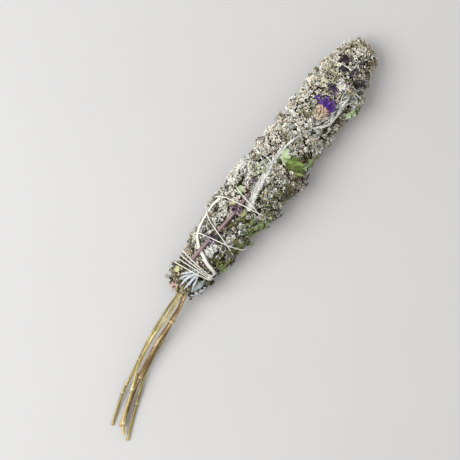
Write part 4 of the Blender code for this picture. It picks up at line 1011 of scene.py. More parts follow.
# Kind and count, along and across from and to, colours, length, half width over length, lift
# over the florets, and for some a heading and its spread, in degrees
BITS = (
    # The leafy band along the lower edge
    ("curled", 10, (29, 56, 14.0, 17.5), pair(76, 86, 50, 150, 160, 112),
     (2.8, 4.8), 0.24, 0.4, 10, 40),
    ("leaflet", 36, (28, 56, 11, 17.5), pair(74, 84, 44, 160, 172, 118),
     (2.5, 4.5), 0.18, 0.4, 0, 50),
    ("curled", 11, (56, 82, 11.5, 18.5), pair(70, 86, 44, 148, 164, 104),
     (3.0, 5.0), 0.26, 0.5, 15, 55),
    ("leaflet", 46, (56, 82, 9, 18.5), pair(50, 62, 30, 150, 164, 106),
     (2.2, 4.5), 0.2, 0.5, 0, 60),
    ("leaflet", 44, (82, 104, 12, 20), pair(56, 60, 32, 116, 122, 70),
     (2.2, 4.0), 0.2, 0.4, 0, 60),
    # Clumps of silver flakes, dark buds that are painted shade in the hollows, and olive stalks
    # low on the head
    ("flake", 42, (31, 39, -3, 3.5), SILVERY, (1.6, 3.2), 0.9, 1.0),
    ("flake", 40, (44, 52, 4, 10), SILVERY, (1.6, 3.2), 0.9, 1.0),
    ("flake", 40, (54, 62, 5, 11), SILVERY, (1.6, 3.2), 0.9, 0.9),
    ("flake", 40, (28, 66, -5, 12), pair(150, 152, 146, 226, 226, 220), (1.6, 3.0), 0.9, 0.4),
    ("leaflet", 60, (26, 66, -8, 12), pair(62, 62, 30, 136, 132, 70),
     (2.5, 5.5), 0.14, 0.1, 0, 40),
    ("twig", 16, (28, 64, -4, 12), pair(90, 88, 40, 164, 158, 90), (7, 12), 0.035, 0.2, 0, 26),
    ("bud", 120, (26, 66, -8, 12), pair(24, 22, 14, 60, 54, 34), (0.9, 1.8), 0.4, 0.3),
    # The foot: twigs, straw and pink bits
    ("twig", 26, (0, 8, -11, 9), pair(88, 74, 46, 190, 174, 124), (4.5, 9), 0.045, -0.6, 180, 24),
    ("leaflet", 24, (1, 14, -12, 8), pair(84, 76, 48, 190, 180, 140),
     (2.5, 5), 0.17, 0.3, 180, 60),
    ("flake", 60, (0, 16, -13, 9), pair(112, 100, 70, 206, 198, 168), (1.6, 3.2), 0.9, 0.5),
    ("bud", 130, (0, 22, -13, 10), pair(22, 20, 14, 56, 48, 32), (1.0, 2.0), 0.4, 0.4),
    ("flake", 30, (1, 26, -13, 8), pair(110, 84, 56, 184, 156, 110), (1.5, 3), 0.9, 0.4),
    ("flake", 9, (-0.5, 2.5, -9, -5), pair(176, 124, 136, 216, 176, 182),
     (1.8, 3), 0.8, 0.8, 180, 40),
    ("flake", 9, (20, 25, -14.5, -11), pair(176, 124, 100, 216, 172, 146), (1.5, 2.6), 0.8, 0.6),
    ("flake", 8, (15, 19, -7, -3), pair(56, 46, 72, 104, 92, 124), (1.5, 2.6), 0.8, 0.6),
    # Needles: white ones nearly everywhere, a pale green sprig and silver fringes
    ("needle", 460, (18, 200, -19, 19), (colour(214, 214, 204), WHITE),
     (2.2, 5.0), 0.035, 0.75, 0, 65),
    ("needle", 120, (10, 205, -17, 17), pair(112, 100, 66, 182, 168, 122),
     (2.0, 4.5), 0.045, 0.5, 0, 60),
    ("needle", 54, (91, 103, -10, -4), pair(130, 144, 98, 204, 212, 172),
     (2.5, 5.5), 0.035, 0.9, 25, 30),
    ("needle", 60, (84, 94, -19.4, -15.5), (SILVER, WHITE), (2.5, 4.2), 0.05, 1.0, 0, 60),
    ("flake", 34, (131, 144, 15.5, 20.5), (colour(200, 205, 202), WHITE), (1.8, 3.0), 0.5, 0.8),
    ("needle", 26, (146, 166, 5.5, 11.5), (SILVER, WHITE), (4.0, 7.5), 0.055, 1.0, 8, 26),
    # Sage leaves near the tip and at the narrow leaf, and petals round the spike's whorls
    ("curled", 5, (161, 175, 17.0, 19.5), (SAGE, SAGE_PALE), (5.0, 7.5), 0.3, 0.9, 0, 24),
    ("curled", 3, (110, 116, 16.0, 18.0), (SAGE, SAGE_PALE), (3.6, 5.0), 0.3, 0.8, 0, 24),
    ("flake", 16, (36.0, 43.0, -9.6, -2.4), pair(66, 58, 84, 134, 124, 152), (1.6, 3.0), 0.6, 1.7),
    ("flake", 16, (61.5, 68.5, -8.0, 0.0), pair(84, 64, 78, 158, 130, 142), (1.6, 3.0), 0.6, 1.7),
    # Brown and tan patches
    ("flake", 12, (52, 57, -17, -13), BROWN, (1.5, 2.6), 0.8, 0.6),
    ("flake", 12, (66, 71, -17, -13), BROWN, (1.5, 2.6), 0.8, 0.6),
    ("flake", 12, (96, 101, -16.5, -12.5), pair(84, 64, 44, 140, 114, 82), (1.5, 2.6), 0.8, 0.6),
    ("flake", 10, (98, 103, 0.5, 4.5), pair(80, 66, 42, 134, 116, 78), (1.5, 2.6), 0.8, 0.3),
    # Dark purple and plum patches, with a few orange and pink ones
    ("flake", 50, (94, 114, 18.0, 22.5), (PLUM, colour(96, 70, 84)), (1.6, 3.0), 0.7, 1.3),
    ("flake", 14, (100, 107, 19, 22.5), pair(130, 78, 52, 188, 128, 92), (1.5, 2.6), 0.7, 1.5),
    ("flake", 14, (84.5, 88.5, -7.0, -3.4), pair(58, 44, 56, 112, 92, 104), (1.5, 2.8), 0.8, 1.2),
    ("flake", 12, (79, 83, 20, 23), (PLUM, PLUM_PALE), (1.6, 2.8), 0.8, 1.2),
    ("flake", 12, (73.5, 77.5, -20.4, -18.0), (PLUM, colour(112, 84, 88)), (1.6, 2.8), 0.8, 1.3),
    ("flake", 10, (110.5, 114, -21, -18), pair(54, 40, 40, 112, 86, 80), (1.6, 2.8), 0.8, 1.3),
    ("flake", 26, (185.4, 189.6, -8.4, -4.0), (PLUM, PLUM_PALE), (1.8, 3.2), 0.8, 0.7),
    ("flake", 22, (180.2, 183.6, -4.8, -1.4), (PLUM, PLUM_PALE), (1.8, 3.2), 0.8, 0.7),
    ("flake", 26, (180.6, 185.6, 2.4, 6.0), (PLUM, PLUM_PALE), (1.8, 3.2), 0.8, 0.7),
    ("flake", 26, (180.2, 184.8, 10.6, 14.8), (PLUM, PLUM_PALE), (1.8, 3.2), 0.8, 0.7),
    ("flake", 12, (191.0, 194.4, 3.0, 6.0), (PLUM, PLUM_PALE), (1.6, 2.6), 0.8, 0.6),
    ("flake", 30, (163.5, 170.5, -2.5, 3.5), pair(60, 52, 70, 128, 114, 138),
     (1.6, 3.0), 0.7, 0.7),
    ("flake", 10, (171, 176, 2, 7), pair(160, 124, 132, 206, 170, 170), (1.4, 2.2), 0.8, 0.6),
    ("flake", 6, (169.8, 172.2, 6, 8.4), pair(176, 104, 52, 216, 154, 96), (1.5, 2.2), 0.8, 0.7),
    ("flake", 60, (165, 177, 11.8, 17.0), pair(140, 140, 152, 212, 212, 222),
     (1.5, 2.6), 0.8, 0.8),
    ("flake", 8, (143, 147, -17, -14), pair(146, 96, 106, 190, 140, 142), (1.4, 2.4), 0.8, 0.8),
    ("leaflet", 9, (151.5, 156, 4.5, 8), VIVID, (2.0, 3.6), 0.12, 1.6, 200, 60),
    ("leaflet", 7, (155, 158.5, -6.6, -4), VIVID, (2.0, 3.2), 0.12, 1.2, 90, 60),
    # All over: pale flakes, dark buds, small leaves
    ("flake", 900, (12, 206, -20, 20), (colour(190, 186, 170), WHITE), (1.2, 2.4), 0.9, 0.45),
    ("bud", 1100, (4, 206, -20, 20), pair(30, 26, 18, 84, 66, 44), (0.9, 1.7), 0.36, 0.35),
    ("leaflet", 260, (8, 205, -20, 20), pair(96, 98, 62, 164, 166, 126),
     (1.8, 3.6), 0.17, 0.2, 0, 80),
)
ANY_WAY = (0, 90)  # heading and spread of the other bits
ALL_ROUND = 19  # bits that reach this far to both sides lie all round the head
LOOSE_BIT = np.array((0.4, 0.35))  # height and half width kept free of the pieces on the head
MOST_PAST = 0.9  # how far bits stand out beyond the head's edge as seen from above


def bit_templates(draw):
    leaflets = ((0.2, 0.3), (-0.15, 0.5), (0.35, -0.3))
    curls = ((0.3, 0.5, 0.12), (-0.2, -0.45, 0.15), (0.15, 0.7, 0.1), (0.4, -0.3, 0.18))
    bud = ((0, 0, 0), (0.3, 0.9, 0.3), (0.75, 0.8, 0.7), (1.0, 0, 1))
    return {
        "flake": [flake(draw) for _ in range(6)],
        "needle": [strap(4, narrowing(0.6), 0.6, curl=c) for c in (0.06, -0.04, 0.12)],
        "leaflet": [strap(5, leafy(0.45, 0.08), 0.1, curl=c, dish=d) for c, d in leaflets],
        "curled": [curled(draw, *shape) for shape in curls],
        "bud": [ovoid(bud, 6, draw, 0.15)],
        "twig": [strap(5, narrowing(0.3), 0.9, curl=c) for c in (0.1, -0.08, 0.02)],
    }


def bits(heaps, florets):
    """Strews the bits over the florets of the sprays that they lie on."""
    places, rises, owner = florets
    draw = np.random.default_rng(83)
    templates = bit_templates(draw)
    for kind, count, (a0, a1, x0, x1), (dark, pale), lengths, slim, lift, *aim in BITS:
        heading, stray = aim or ANY_WAY
        along = draw.uniform(a0, a1, count)
        across = draw.uniform(x0, x1, count)
        middle, _, wide, _ = head_at(along)
        turn = np.arcsin(np.clip((across - middle) / (wide + FLORET_MEAN_RISE), -1, 1))
        if x0 <= -ALL_ROUND and x1 >= ALL_ROUND:
            turn = draw.uniform(-math.pi, math.pi, count)
        skin = on_skin(along, turn)
        near = np.linalg.norm(skin[:, None] - places[None], axis=2).argmin(1)
        past = np.maximum(np.abs(across - middle) - wide - FLORET_MEAN_RISE, 0)
        past = past * (np.abs(np.sin(turn)) > 0.97)
        rise = rises[near] + lift + np.minimum(past, MOST_PAST)
        free = kept_under(along, turn, rise, *np.tile(LOOSE_BIT[:, None], count))
        rise = inside_left(along, turn, np.minimum(free, rise))
        length = draw.uniform(*lengths, count)
        way = np.radians(heading + draw.normal(0, stray / 2, count))
        tilt = draw.uniform(*((-0.4, 0.1) if kind == "twig" else (-0.15, 0.45)), count)
        frames = skin_frames(along, turn, way, tilt, draw.normal(0, 0.35, (count, 3)))
        foot = on_skin(along, turn, rise) - frames[:, :, 2] * (length * 0.4)[:, None]
        wide = slim * length * draw.uniform(0.8, 1.25, count)
        deep = wide if kind in ("needle", "bud", "twig") else length * 0.9
        sizes = np.stack([wide, deep, length], -1)
        which = draw.integers(0, len(templates[kind]), count)
        tone = draw.uniform(0, 1, (count, 1))
        for k, template in enumerate(templates[kind]):
            for index, heap in enumerate(heaps):
                mine = (which == k) & (owner[near] == index)
                if not mine.any():
                    continue
                share = 0.25 + 0.5 * template[2][None] + 0.5 * (tone[mine] - 0.5)
                tints = blend(dark, pale, share)
                spread(heap, template, foot[mine], frames[mine], sizes[mine], tints, slot=2)


def sprays():
    heaps = [Heap() for _ in SPRAYS]
    bits(heaps, floret_heads(heaps))
    for heap, node in zip(heaps, SPRAYS):
        heap.piece(node, "florets", FLORET, CORE, PETAL, smooth=False)


# Leaves and strips, each on the outer face of its own solid


def leaf_width(half, peak=0.45, tip=0.12):
    """Half widths of a leaf that is widest at peak and ends in a point."""

    def at(f):
        rising = 0.22 + 0.78 * np.sin(math.pi / 2 * np.clip(f / peak, 0, 1))
        falling = np.cos(math.pi / 2 * np.clip((f - peak) / (1 - peak), 0, 1))
        return half * np.where(f < peak, rising, np.maximum(falling, tip))

    return at


def sheet(
    heap, node, route, width, tint, step=0.5, columns=13, thick=0.28, relief=None, edge=None
):
    """A thin sheet along a skin route, draped on its solid's outer face.

    Relief, tint and edge are functions of the places along (0 to 1) and across (-1 to 1):
    millimetres of height, colours, and a factor of the width.
    """
    tree = tree_of([node])
    rows = resampled(route, step)
    ways = headings(rows)
    f, v = grid(len(rows), columns)
    half = width(f[:, 0])[:, None] * (1 if edge is None else edge(f, v))
    places = beside(rows[:, None], ways[:, None], 0, half * v)
    rise = softened(top_rise(tree, places[..., 0], places[..., 1]), 2) - 0.06 + relief(f, v)
    over = on_rows(places, rise)
    under = on_rows(places, rise - thick * (1 - 0.6 * np.abs(v) ** 3))
    tints = tint(f, v, over).reshape(-1, 3)
    points = np.concatenate([over.reshape(-1, 3), under.reshape(-1, 3)])
    # The undersides take the same tints at 0.9, as painted shade
    heap.add(points, sheet_faces(len(rows), columns), np.concatenate([tints, 0.9 * tints]))


def vein_lines(f, v, veins):
    """1 on a leaf's side veins, which run forward to its rim, and 0 between them."""
    return np.abs(((f * veins - 0.9 * np.abs(v)) % 1.0) - 0.5) * 2


def veined(groove=0.16, vein=0.07, veins=7, crinkle=0.12, fold=0.0, curl=0.0, seed=1, extra=None):
    """Relief of a leaf: a midrib's groove, side veins, crinkles, a fold and lifted edges.

    Extra is a function that gives more relief.
    """

    def relief(f, v):
        made = -groove * np.exp(-((v / 0.09) ** 2))
        made = made - vein * vein_lines(f, v, veins) ** 6 * (np.abs(v) > 0.08)
        made = made + crinkle * np.sin(9 * f + 3 * v + seed) * np.sin(5 * v - 4 * f + 2 * seed)
        made = made + fold * np.abs(v) + curl * np.abs(v) ** 3
        return made if extra is None else made + extra(f, v)

    return relief


def leaf_tints(deep, pale, seed, veins=7, brown=None):
    """Colours of a leaf: blotched between two, with pale midrib and veins, and browned rims."""

    def tint(f, v, places):
        blotch = 0.5 + 0.6 * lumps(places, 2.6, seed) + 0.35 * lumps(places, 0.9, seed + 1)
        made = blend(deep, pale, blotch)
        made = blend(made, pale, 0.35 * vein_lines(f, v, veins) ** 8)
        made = blend(made, pale, 0.75 * np.exp(-((v / 0.08) ** 2)))
        if brown is not None:
            made = blend(made, brown, np.abs(v) ** 9 * 0.7 + smoothstep((f - 0.9) / 0.1) * 0.5)
        return made

    return tint


def wavy(amount, teeth, seed):
    """A factor of a leaf's width, with small teeth."""

    def edge(f, v):
        return 1 + amount * np.sin(f * teeth * math.tau + seed + (v > 0) * 1.7) * np.abs(v)

    return edge


TIP_LEAF = [(157.5, 1.14), (166, 1.27), (176, 1.2)]
NARROW_LEAF = [(113.5, 0.95), (120, 1.12), (129, 1.20)]
BASE_LEAF = from_above((5.0, 6.3), (11, 8.4), (17, 8.9))
BASE_FRILL = [(3.5, 1.10), (8.5, 1.15), (14.0, 1.12)]
PALE_LEAF = from_above((75.0, -9.0), (81.0, -10.0))
BRACTS = (
    from_above((65.0, -7.4), (70.2, -7.0)),
    from_above((64.2, 0.6), (69.8, 1.9)),
    from_above((9.4, -10.2), (14.0, -10.6)),
)
CENTRE_LEAF = from_above((112.0, 0.2), (111.5, 5.5), (112.8, 11.0), (110.5, 15.5), (108.4, 18.3))
# Folds of the middle leaf: routes, then half width, curl and lift in millimetres
CENTRE_FOLDS = (
    ((117.8, -0.6), (113.6, 0.9), (109.6, 2.6), (107.8, 4.2)),
    ((110.4, 1.2), (112.0, 5.6), (114.2, 10.6), (115.8, 15.4)),
    ((108.8, 4.4), (109.8, 9.0), (111.8, 13.4), (112.4, 17.4)),
    ((106.4, 8.2), (107.6, 12.4), (109.8, 16.4), (110.6, 18.6)),
)
FOLD_SHAPES = ((2.5, 0.5, 1.1), (1.8, -0.6, 0.75), (1.3, 0.5, 0.35), (1.35, -0.5, 0.55))
FOLD_GREENS = (
    pair(146, 164, 118, 202, 212, 176),
    # The second fold's dark green is partly painted shade
    pair(70, 92, 34, 150, 170, 90),
    pair(60, 74, 30, 124, 140, 72),
    pair(126, 142, 66, 196, 202, 132),
)
EDGE_LEAVES = (
    ([(28.5, 1.20), (35.2, 1.36), (42.0, 1.42)], 1.9),
    ([(43.5, 1.38), (49.2, 1.35), (55.0, 1.22)], 2.1),
    ([(56.5, 1.18), (62.8, 1.35), (69.0, 1.42)], 2.3),
    ([(71.0, 1.44), (76.0, 1.40), (81.0, 1.28)], 2.0),
)
NARROW_GREENS = pair(80, 102, 48, 154, 172, 112)
EDGE_GREENS = pair(66, 78, 42, 146, 158, 108)
BASE_GREENS = pair(118, 132, 130, 172, 184, 184)
PALE_GREENS = pair(150, 166, 124, 190, 200, 160)
BRACT_GREENS = pair(162, 164, 108, 208, 206, 156)
CENTRE_GREENS = pair(66, 80, 38, 122, 140, 74)


def leaves():
    """The green and sage leaves, and the basil's bracts."""

    def one(node, route, width, tints, relief, **shape):
        heap = Heap()
        sheet(heap, node, route, width, tints, relief=relief, **shape)
        heap.piece(node, "veined", LEAF)

    relief = veined(fold=0.3, seed=2)
    sage = leaf_tints(SAGE, SAGE_PALE, 3, brown=STRAW)
    one("leaf_tip_side", TIP_LEAF, leaf_width(3.3), sage, relief, edge=wavy(0.07, 9, 1), step=0.6)
    relief = veined(fold=0.4, seed=4, extra=lambda f, v: 0.45 * np.sin(f * 17) * v)
    green, edge = leaf_tints(*NARROW_GREENS, 5), wavy(0.2, 4, 2)
    one("leaf_narrow", NARROW_LEAF, leaf_width(2.6), green, relief, edge=edge, step=0.4)
    for k, (route, half) in enumerate(EDGE_LEAVES, 1):
        green = leaf_tints(*EDGE_GREENS, 10 + k, brown=STRAW)
        relief = veined(crinkle=0.3, curl=0.3, seed=6 + k)
        one(f"edge_leaf_{k}", route, leaf_width(half), green, relief, edge=wavy(0.14, 7, k))
    relief = veined(fold=0.15, seed=12)
    one("base_leaf", BASE_LEAF, leaf_width(2.3, 0.5, 0.3), leaf_tints(*BASE_GREENS, 21), relief)
    green, relief = leaf_tints(*PALE_GREENS, 31), veined(crinkle=0.1, seed=14)
    one("leaf_pale", PALE_LEAF, leaf_width(2.4, 0.5, 0.4), green, relief, step=0.4)
    for k, route in enumerate(BRACTS, 1):
        green = leaf_tints(*BRACT_GREENS, 40 + k, brown=STRAW)
        relief = veined(curl=0.3, crinkle=0.15, seed=20 + k)
        one(f"basil_bract_{k}", route, leaf_width(2.1, 0.4, 0.3), green, relief, step=0.35)
    # The middle leaf: a dark underside, and the folds of its crumpled blade over it
    heap = Heap()
    relief = veined(crinkle=0.16, veins=9, seed=31, extra=lambda f, v: -0.15)
    width, under = leaf_width(4.4, 0.3, 0.25), leaf_tints(*CENTRE_GREENS, 51, veins=9)
    edge = wavy(0.08, 6, 3)
    sheet(heap, "leaf_centre", CENTRE_LEAF, width, under, columns=17, relief=relief, edge=edge)
    folds = zip(CENTRE_FOLDS, FOLD_SHAPES, FOLD_GREENS)
    for k, (points, (half, curl, lift), both) in enumerate(folds):

        def crumple(f, v, k=k, curl=curl, lift=lift):
            return lift + curl * v * np.abs(v) + 0.25 * np.sin(7 * f + k)

        width, green = leaf_width(half, 0.5, 0.35), leaf_tints(*both, 70 + k, veins=6)
        relief, edge = veined(0.18, 0.08, 6, 0.2, seed=60 + k, extra=crumple), wavy(0.16, 3, k)
        route = from_above(*points)
        sheet(heap, "leaf_centre", route, width, green, step=0.4, relief=relief, edge=edge)
    heap.piece("leaf_centre", "veined", LEAF)


# The silver cut leaf and frill at the foot, and the felted strip

# The cut leaf's lobes, from above: root, middle and end, and half width
CUT_LOBES = (
    (((19.5, 2.6), (12.0, 1.6), (3.4, 1.4)), 0.8),
    (((18.5, 1.8), (11.0, -1.4), (4.4, -2.2)), 0.85),
    (((19.5, 0.6), (14.0, -3.2), (10.2, -6.6)), 0.8),
    (((17.0, 2.8), (11.5, 4.2), (6.8, 5.2)), 0.65),
    (((14.5, -0.8), (9.4, -4.4), (6.2, -5.4)), 0.6),
)
LOBE_TONES = pair(122, 130, 136, 212, 217, 220)
TOOTH_AT = 0.62  # along each lobe
FRILL_LOBES = 13


def silver_leaves():
    """The silver cut leaf and the frill at the foot, with long lobes."""
    draw = np.random.default_rng(11)
    heap, tree = Heap(), tree_of(["silver_cut_leaf"])
    for points, half in CUT_LOBES:
        rows = resampled(from_above(*points), 0.5)
        f = np.linspace(0, 1, len(rows))
        line = draped(tree, rows, 3, 0.1 + 0.3 * np.sin(math.pi * f))
        wide = half * np.sqrt(np.clip(1.06 - np.abs(2 * f - 0.9) ** 3, 0.1, 1))
        wide = wide * (1 + 0.12 * np.sin(9 * f + 5 * half))
        # Painted light along the lobes' tops and painted shade at their edges and undersides, with
        # random tone
        top_light_under_shade = 0.75 + 0.25 * np.sin(round_angles(8))[None]
        tint = blend(*LOBE_TONES, top_light_under_shade * draw.uniform(0.3, 1.1, (len(rows), 8)))
        flat_tube(heap, line, wide, 0.2, tint)
        i = int(TOOTH_AT * (len(rows) - 1))
        way = headings(rows)[i]
        for side in (-1, 1):
            g = np.linspace(0, 1, 7)
            reach = half * draw.uniform(1.3, 1.8)
            tooth = beside(rows[i], way, 1.3 * reach * g, side * reach * g)
            path = draped(tree, tooth, 2, 0.1 + 0.1 * g)
            tint = blend(*LOBE_TONES, draw.uniform(0.2, 0.8, 7))
            flat_tube(heap, path, 0.4 - 0.2 * g, 0.14, tint)
    heap.piece("silver_cut_leaf", "lobes", FELT)
    heap, tree = Heap(), tree_of(["base_frill"])
    rows = resampled(BASE_FRILL, 0.4)
    for number in range(FRILL_LOBES):
        i = int((0.04 + 0.9 * number / (FRILL_LOBES - 1)) * (len(rows) - 1))
        way = headings(rows)[i]
        for side in (-1, 1):
            g = np.linspace(0, 1, 8)
            reach = draw.uniform(1.2, 2.3)
            lobe = beside(rows[i], way, -reach * draw.uniform(0.2, 1.0) * g, side * reach * g)
            path, wide = draped(tree, lobe, 2, 0.35 * np.sin(3 * g)), 0.5 * np.sqrt(1.05 - g**3)
            flat_tube(heap, path, wide, 0.15, blend(*LOBE_TONES, draw.uniform(0, 1.0, 8)))
    heap.piece("base_frill", "lobes", FELT)


SILVER_STRIP = [
    (23.4, math.radians(74)),
    *from_above((25.1, 8.1), (26.4, 3.0), (29.0, -2.1), (31.7, -7.9)),
    (37.4, math.radians(-57)),
    (44.0, math.radians(-67)),
    (51.0, math.radians(-68)),
    (58.5, math.radians(-66)),
    (66.0, math.radians(-56)),
]
STRIP_HALF = 1.15
STRIP_TONES = pair(196, 194, 184, 244, 242, 234)
STRIP_HAIR = colour(238, 238, 230)
HAIR = strap(3, narrowing(0.8), 0.7, curl=0.25)


def hairs(heap, draw, rows, tree, count, side_reach, length, tint, thick=0.05):
    """Short hairs that lean forward, on a piece that lies along rows of skin positions."""
    ways = headings(rows)
    i = draw.integers(0, len(rows), count)
    v = draw.uniform(-1, 1, count)
    places = beside(rows[i], ways[i], 0, side_reach * v)
    points = on_rows(places, top_rise(tree, places[:, 0], places[:, 1]) - 0.1)
    ahead = beside(rows[i], ways[i], 1.0, 0.9 * v + draw.normal(0, 0.35, count))
    tangent = unit(on_rows(ahead) - on_rows(rows[i]))
    normal = skin_normal(places[:, 0], places[:, 1])
    way = unit(tangent + normal * draw.uniform(0.1, 0.7, (count, 1)))
    wide = np.full(count, thick)
    sizes = np.stack([wide, wide, length * draw.uniform(0.5, 1.2, count)], -1)
    tints = tint * draw.uniform(0.85, 1.1, (count, 1, 1))
    spread(heap, HAIR, points, frames_facing(way, normal), sizes, tints)


def strip():
    def width(f):
        return STRIP_HALF * (1 - 0.15 * np.sin(20 * f) ** 2)

    def relief(f, v):
        ridges = 0.2 + 0.10 * np.cos(v * 10 + 2 * np.sin(9 * f)) + 0.25 * (1 - v * v)
        return ridges + 0.08 * np.sin(60 * f + 4 * v)

    def streaks(f, v, places):
        streak = np.sin(v * 9 + 3 + 1.5 * np.sin(f * 14)) * 0.5 + 0.5
        return blend(*STRIP_TONES, 0.25 + 0.75 * streak + 0.3 * lumps(places, 1.2, 3))

    heap = Heap()
    look = dict(step=0.6, columns=11, thick=0.8, relief=relief)
    sheet(heap, "silver_strip", SILVER_STRIP, width, streaks, **look)
    draw = np.random.default_rng(17)
    hairs(heap, draw, resampled(SILVER_STRIP, 0.5), STRIP_TREE, 260, 1.0, 1.3, STRIP_HAIR)
    heap.piece("silver_strip", "felt", FELT)


# The silver sprig

SILVER_SPRIG = from_above(
    *((70.2, 3.6), (79.9, 0.8), (87.1, -0.7), (95.0, -1.8), (103.4, -2.8), (110.9, -3.2)),
    *((117.5, -2.8), (124.7, -1.3), (133.3, 2.2), (138.6, 4.9), (142.6, 9.0), (147.5, 12.3)),
    *((153.8, 13.1), (162.0, 13.3), (172.3, 11.4)),
)
# Its side branches: place along it, side, how far out and ahead they reach, and how full they are
SPRIG_BRANCHES = (
    (0.30, -1, 8.0, 4.5, 0.4),
    (0.42, 1, 6.0, 4.0, 0.4),
    (0.50, -1, 8.5, 5.5, 0.9),
    (0.60, 1, 7.0, 4.5, 0.8),
    (0.66, 1, 8.0, 6.0, 0.9),
    (0.80, -1, 7.0, 7.5, 1.0),
    (0.86, -1, 4.0, 7.5, 1.0),
    (0.92, 1, 4.0, 6.5, 0.9),
)
SPRIG_BEADS = 62
SPRIG_GAP_STALK_AND_SHADE = colour(116, 120, 106)
LOWER_LEAFLET, UPPER_LEAFLET = colour(248, 248, 240), colour(254, 254, 248)
BRANCH_LEAFLET = colour(246, 246, 238)
LEAFLET = strap(5, leafy(0.5, 0.1), 0.12, curl=0.18, dish=0.3)


def leaflets(heap, draw, line, count, length, width, tint, spreading, first=0.0, last=1.0):
    """Narrow leaflets along a line that lies on the head, leaning forward out of it."""
    f = first + (last - first) * (np.arange(count) + draw.uniform(0, 0.8, count)) / count
    i = np.clip((f * (len(line) - 1)).astype(int), 0, len(line) - 2)
    points = line[i]
    tangent = unit(line[i + 1] - line[i])
    along, turn, _ = unskin(points)
    normal = skin_normal(along, turn)
    side = unit(np.cross(tangent, normal))
    angle = draw.uniform(-1.35, 1.35, count)
    flank = np.where(np.arange(count) % 2, 1.0, -1.0)[:, None]
    radial = side * flank * np.cos(angle)[:, None] + normal * np.abs(np.sin(angle))[:, None]
    way = unit(tangent + radial * spreading * draw.uniform(0.5, 1.3, (count, 1)))
    wide, deep = width * draw.uniform(0.8, 1.2, count), width * draw.uniform(0.8, 1.2, count)
    sizes = np.stack([wide, deep, length * draw.uniform(0.7, 1.25, count)], -1)
    tints = tint * draw.uniform(0.7, 1.1, (count, 1, 1))
    spread(heap, LEAFLET, points, frames_facing(way, unit(normal + 0.4 * radial)), sizes, tints)


def sprig():
    heap = Heap()
    draw = np.random.default_rng(23)
    rows = resampled(SILVER_SPRIG, 0.4)
    f = np.linspace(0, 1, len(rows))
    beaded = 0.5 - 0.5 * np.sin(f * SPRIG_BEADS * math.tau + 2 * np.sin(31 * f))
    beaded = smoothstep((f - 0.48) / 0.12) * beaded
    full = 1.5 - 0.75 * smoothstep(f / 0.35)
    radii = (0.72 + 0.12 * np.sin(37 * f) * np.sin(61 * f) - 0.3 * beaded) * full
    line = draped(SPRIG_TREE, rows, 3, -(full - 0.35 * smoothstep((f - 0.4) / 0.2)))
    sides = 12
    rough = 0.1 * draw.normal(0, 1, (len(rows), sides)).clip(-1, 1)
    shape = 1 + 0.12 * np.cos(5 * round_angles(sides))[None] + rough
    tint = blend(SILVER_SHADE, SILVER, draw.uniform(0.2, 1, (len(rows), sides)))
    # Darker stalk in the pinches between the beads, partly painted shade
    tint = blend(tint, SPRIG_GAP_STALK_AND_SHADE, 0.8 * beaded[:, None] * np.ones(sides))
    tube(heap, line, radii, tint, sides=sides, shape=shape)
    # Felted leaflets pressed to its lower end, then sparser
    leaflets(heap, draw, line, 420, 2.9, 0.32, LOWER_LEAFLET, 1.35, 0.0, 0.42)
    leaflets(heap, draw, line, 210, 1.8, 0.28, UPPER_LEAFLET, 0.7, 0.40, 1.0)
    coarse = resampled(SILVER_SPRIG, 3.4)
    ways = headings(coarse)
    g = np.linspace(0, 1, 17)
    for place, side, out, ahead, full in SPRIG_BRANCHES:
        i = int(place * (len(coarse) - 1))
        route = beside(coarse[i], ways[i], ahead * g, side * out * g * (1.15 - 0.15 * g))
        twig = draped(SPRIG_TREE, route, 3, -(0.55 - 0.2 * g))
        radii = (0.42 - 0.2 * g) * (0.4 + 0.6 * full)
        tint = blend(SILVER_SHADE, SILVER, draw.uniform(0.4, 1, len(g)))
        tube(heap, twig - (0, 0, 0.5 * (1 - full)), radii, tint, sides=7)
        size = (int(44 * full), 1.2 + 0.7 * full, 0.14 + 0.14 * full)
        leaflets(heap, draw, twig, *size, BRANCH_LEAFLET, 0.8, 0.1)
    heap.piece("silver_sprig", "felt", FELT)


# The basil flower stem

BASIL_SPIKE = from_above(
    *((19.1, -6.4), (27.5, -5.8), (36.3, -5.3), (47, -4.3), (58.1, -3.4), (68, -3.0)),
    (79.5, -2.6),
)
SPIKE_TONES = pair(104, 80, 86, 186, 158, 160)
SPIKE_RADIUS = 0.98
SPIKE_DEPTH = 1.05  # of its middle line under its solid's outer face
SPIKE_HAIR = colour(190, 160, 150)
WHORLS = (39.0, 64.0)
WHORL_HUES = np.array(((0.90, 0.88, 1.0), (1.06, 0.98, 0.98)))
# Rows of calyxes in a whorl: how far ahead, how far out and their size
WHORL_ROWS = ((0.0, 1.2, 3.6), (2.4, 1.0, 2.9))
CALYXES = 7
CALYX_TONES = pair(80, 66, 78, 158, 140, 148)
CALYX_MOUTH = colour(34, 22, 28)
CALYX = ((0, 0, 0), (0.1, 0.34, 0), (0.5, 0.62, 0.4), (0.85, 0.66, 0.8), (1.12, 0.86, 1.0))
CALYX += ((0.8, 0.5, 2), (0.45, 0, 2))


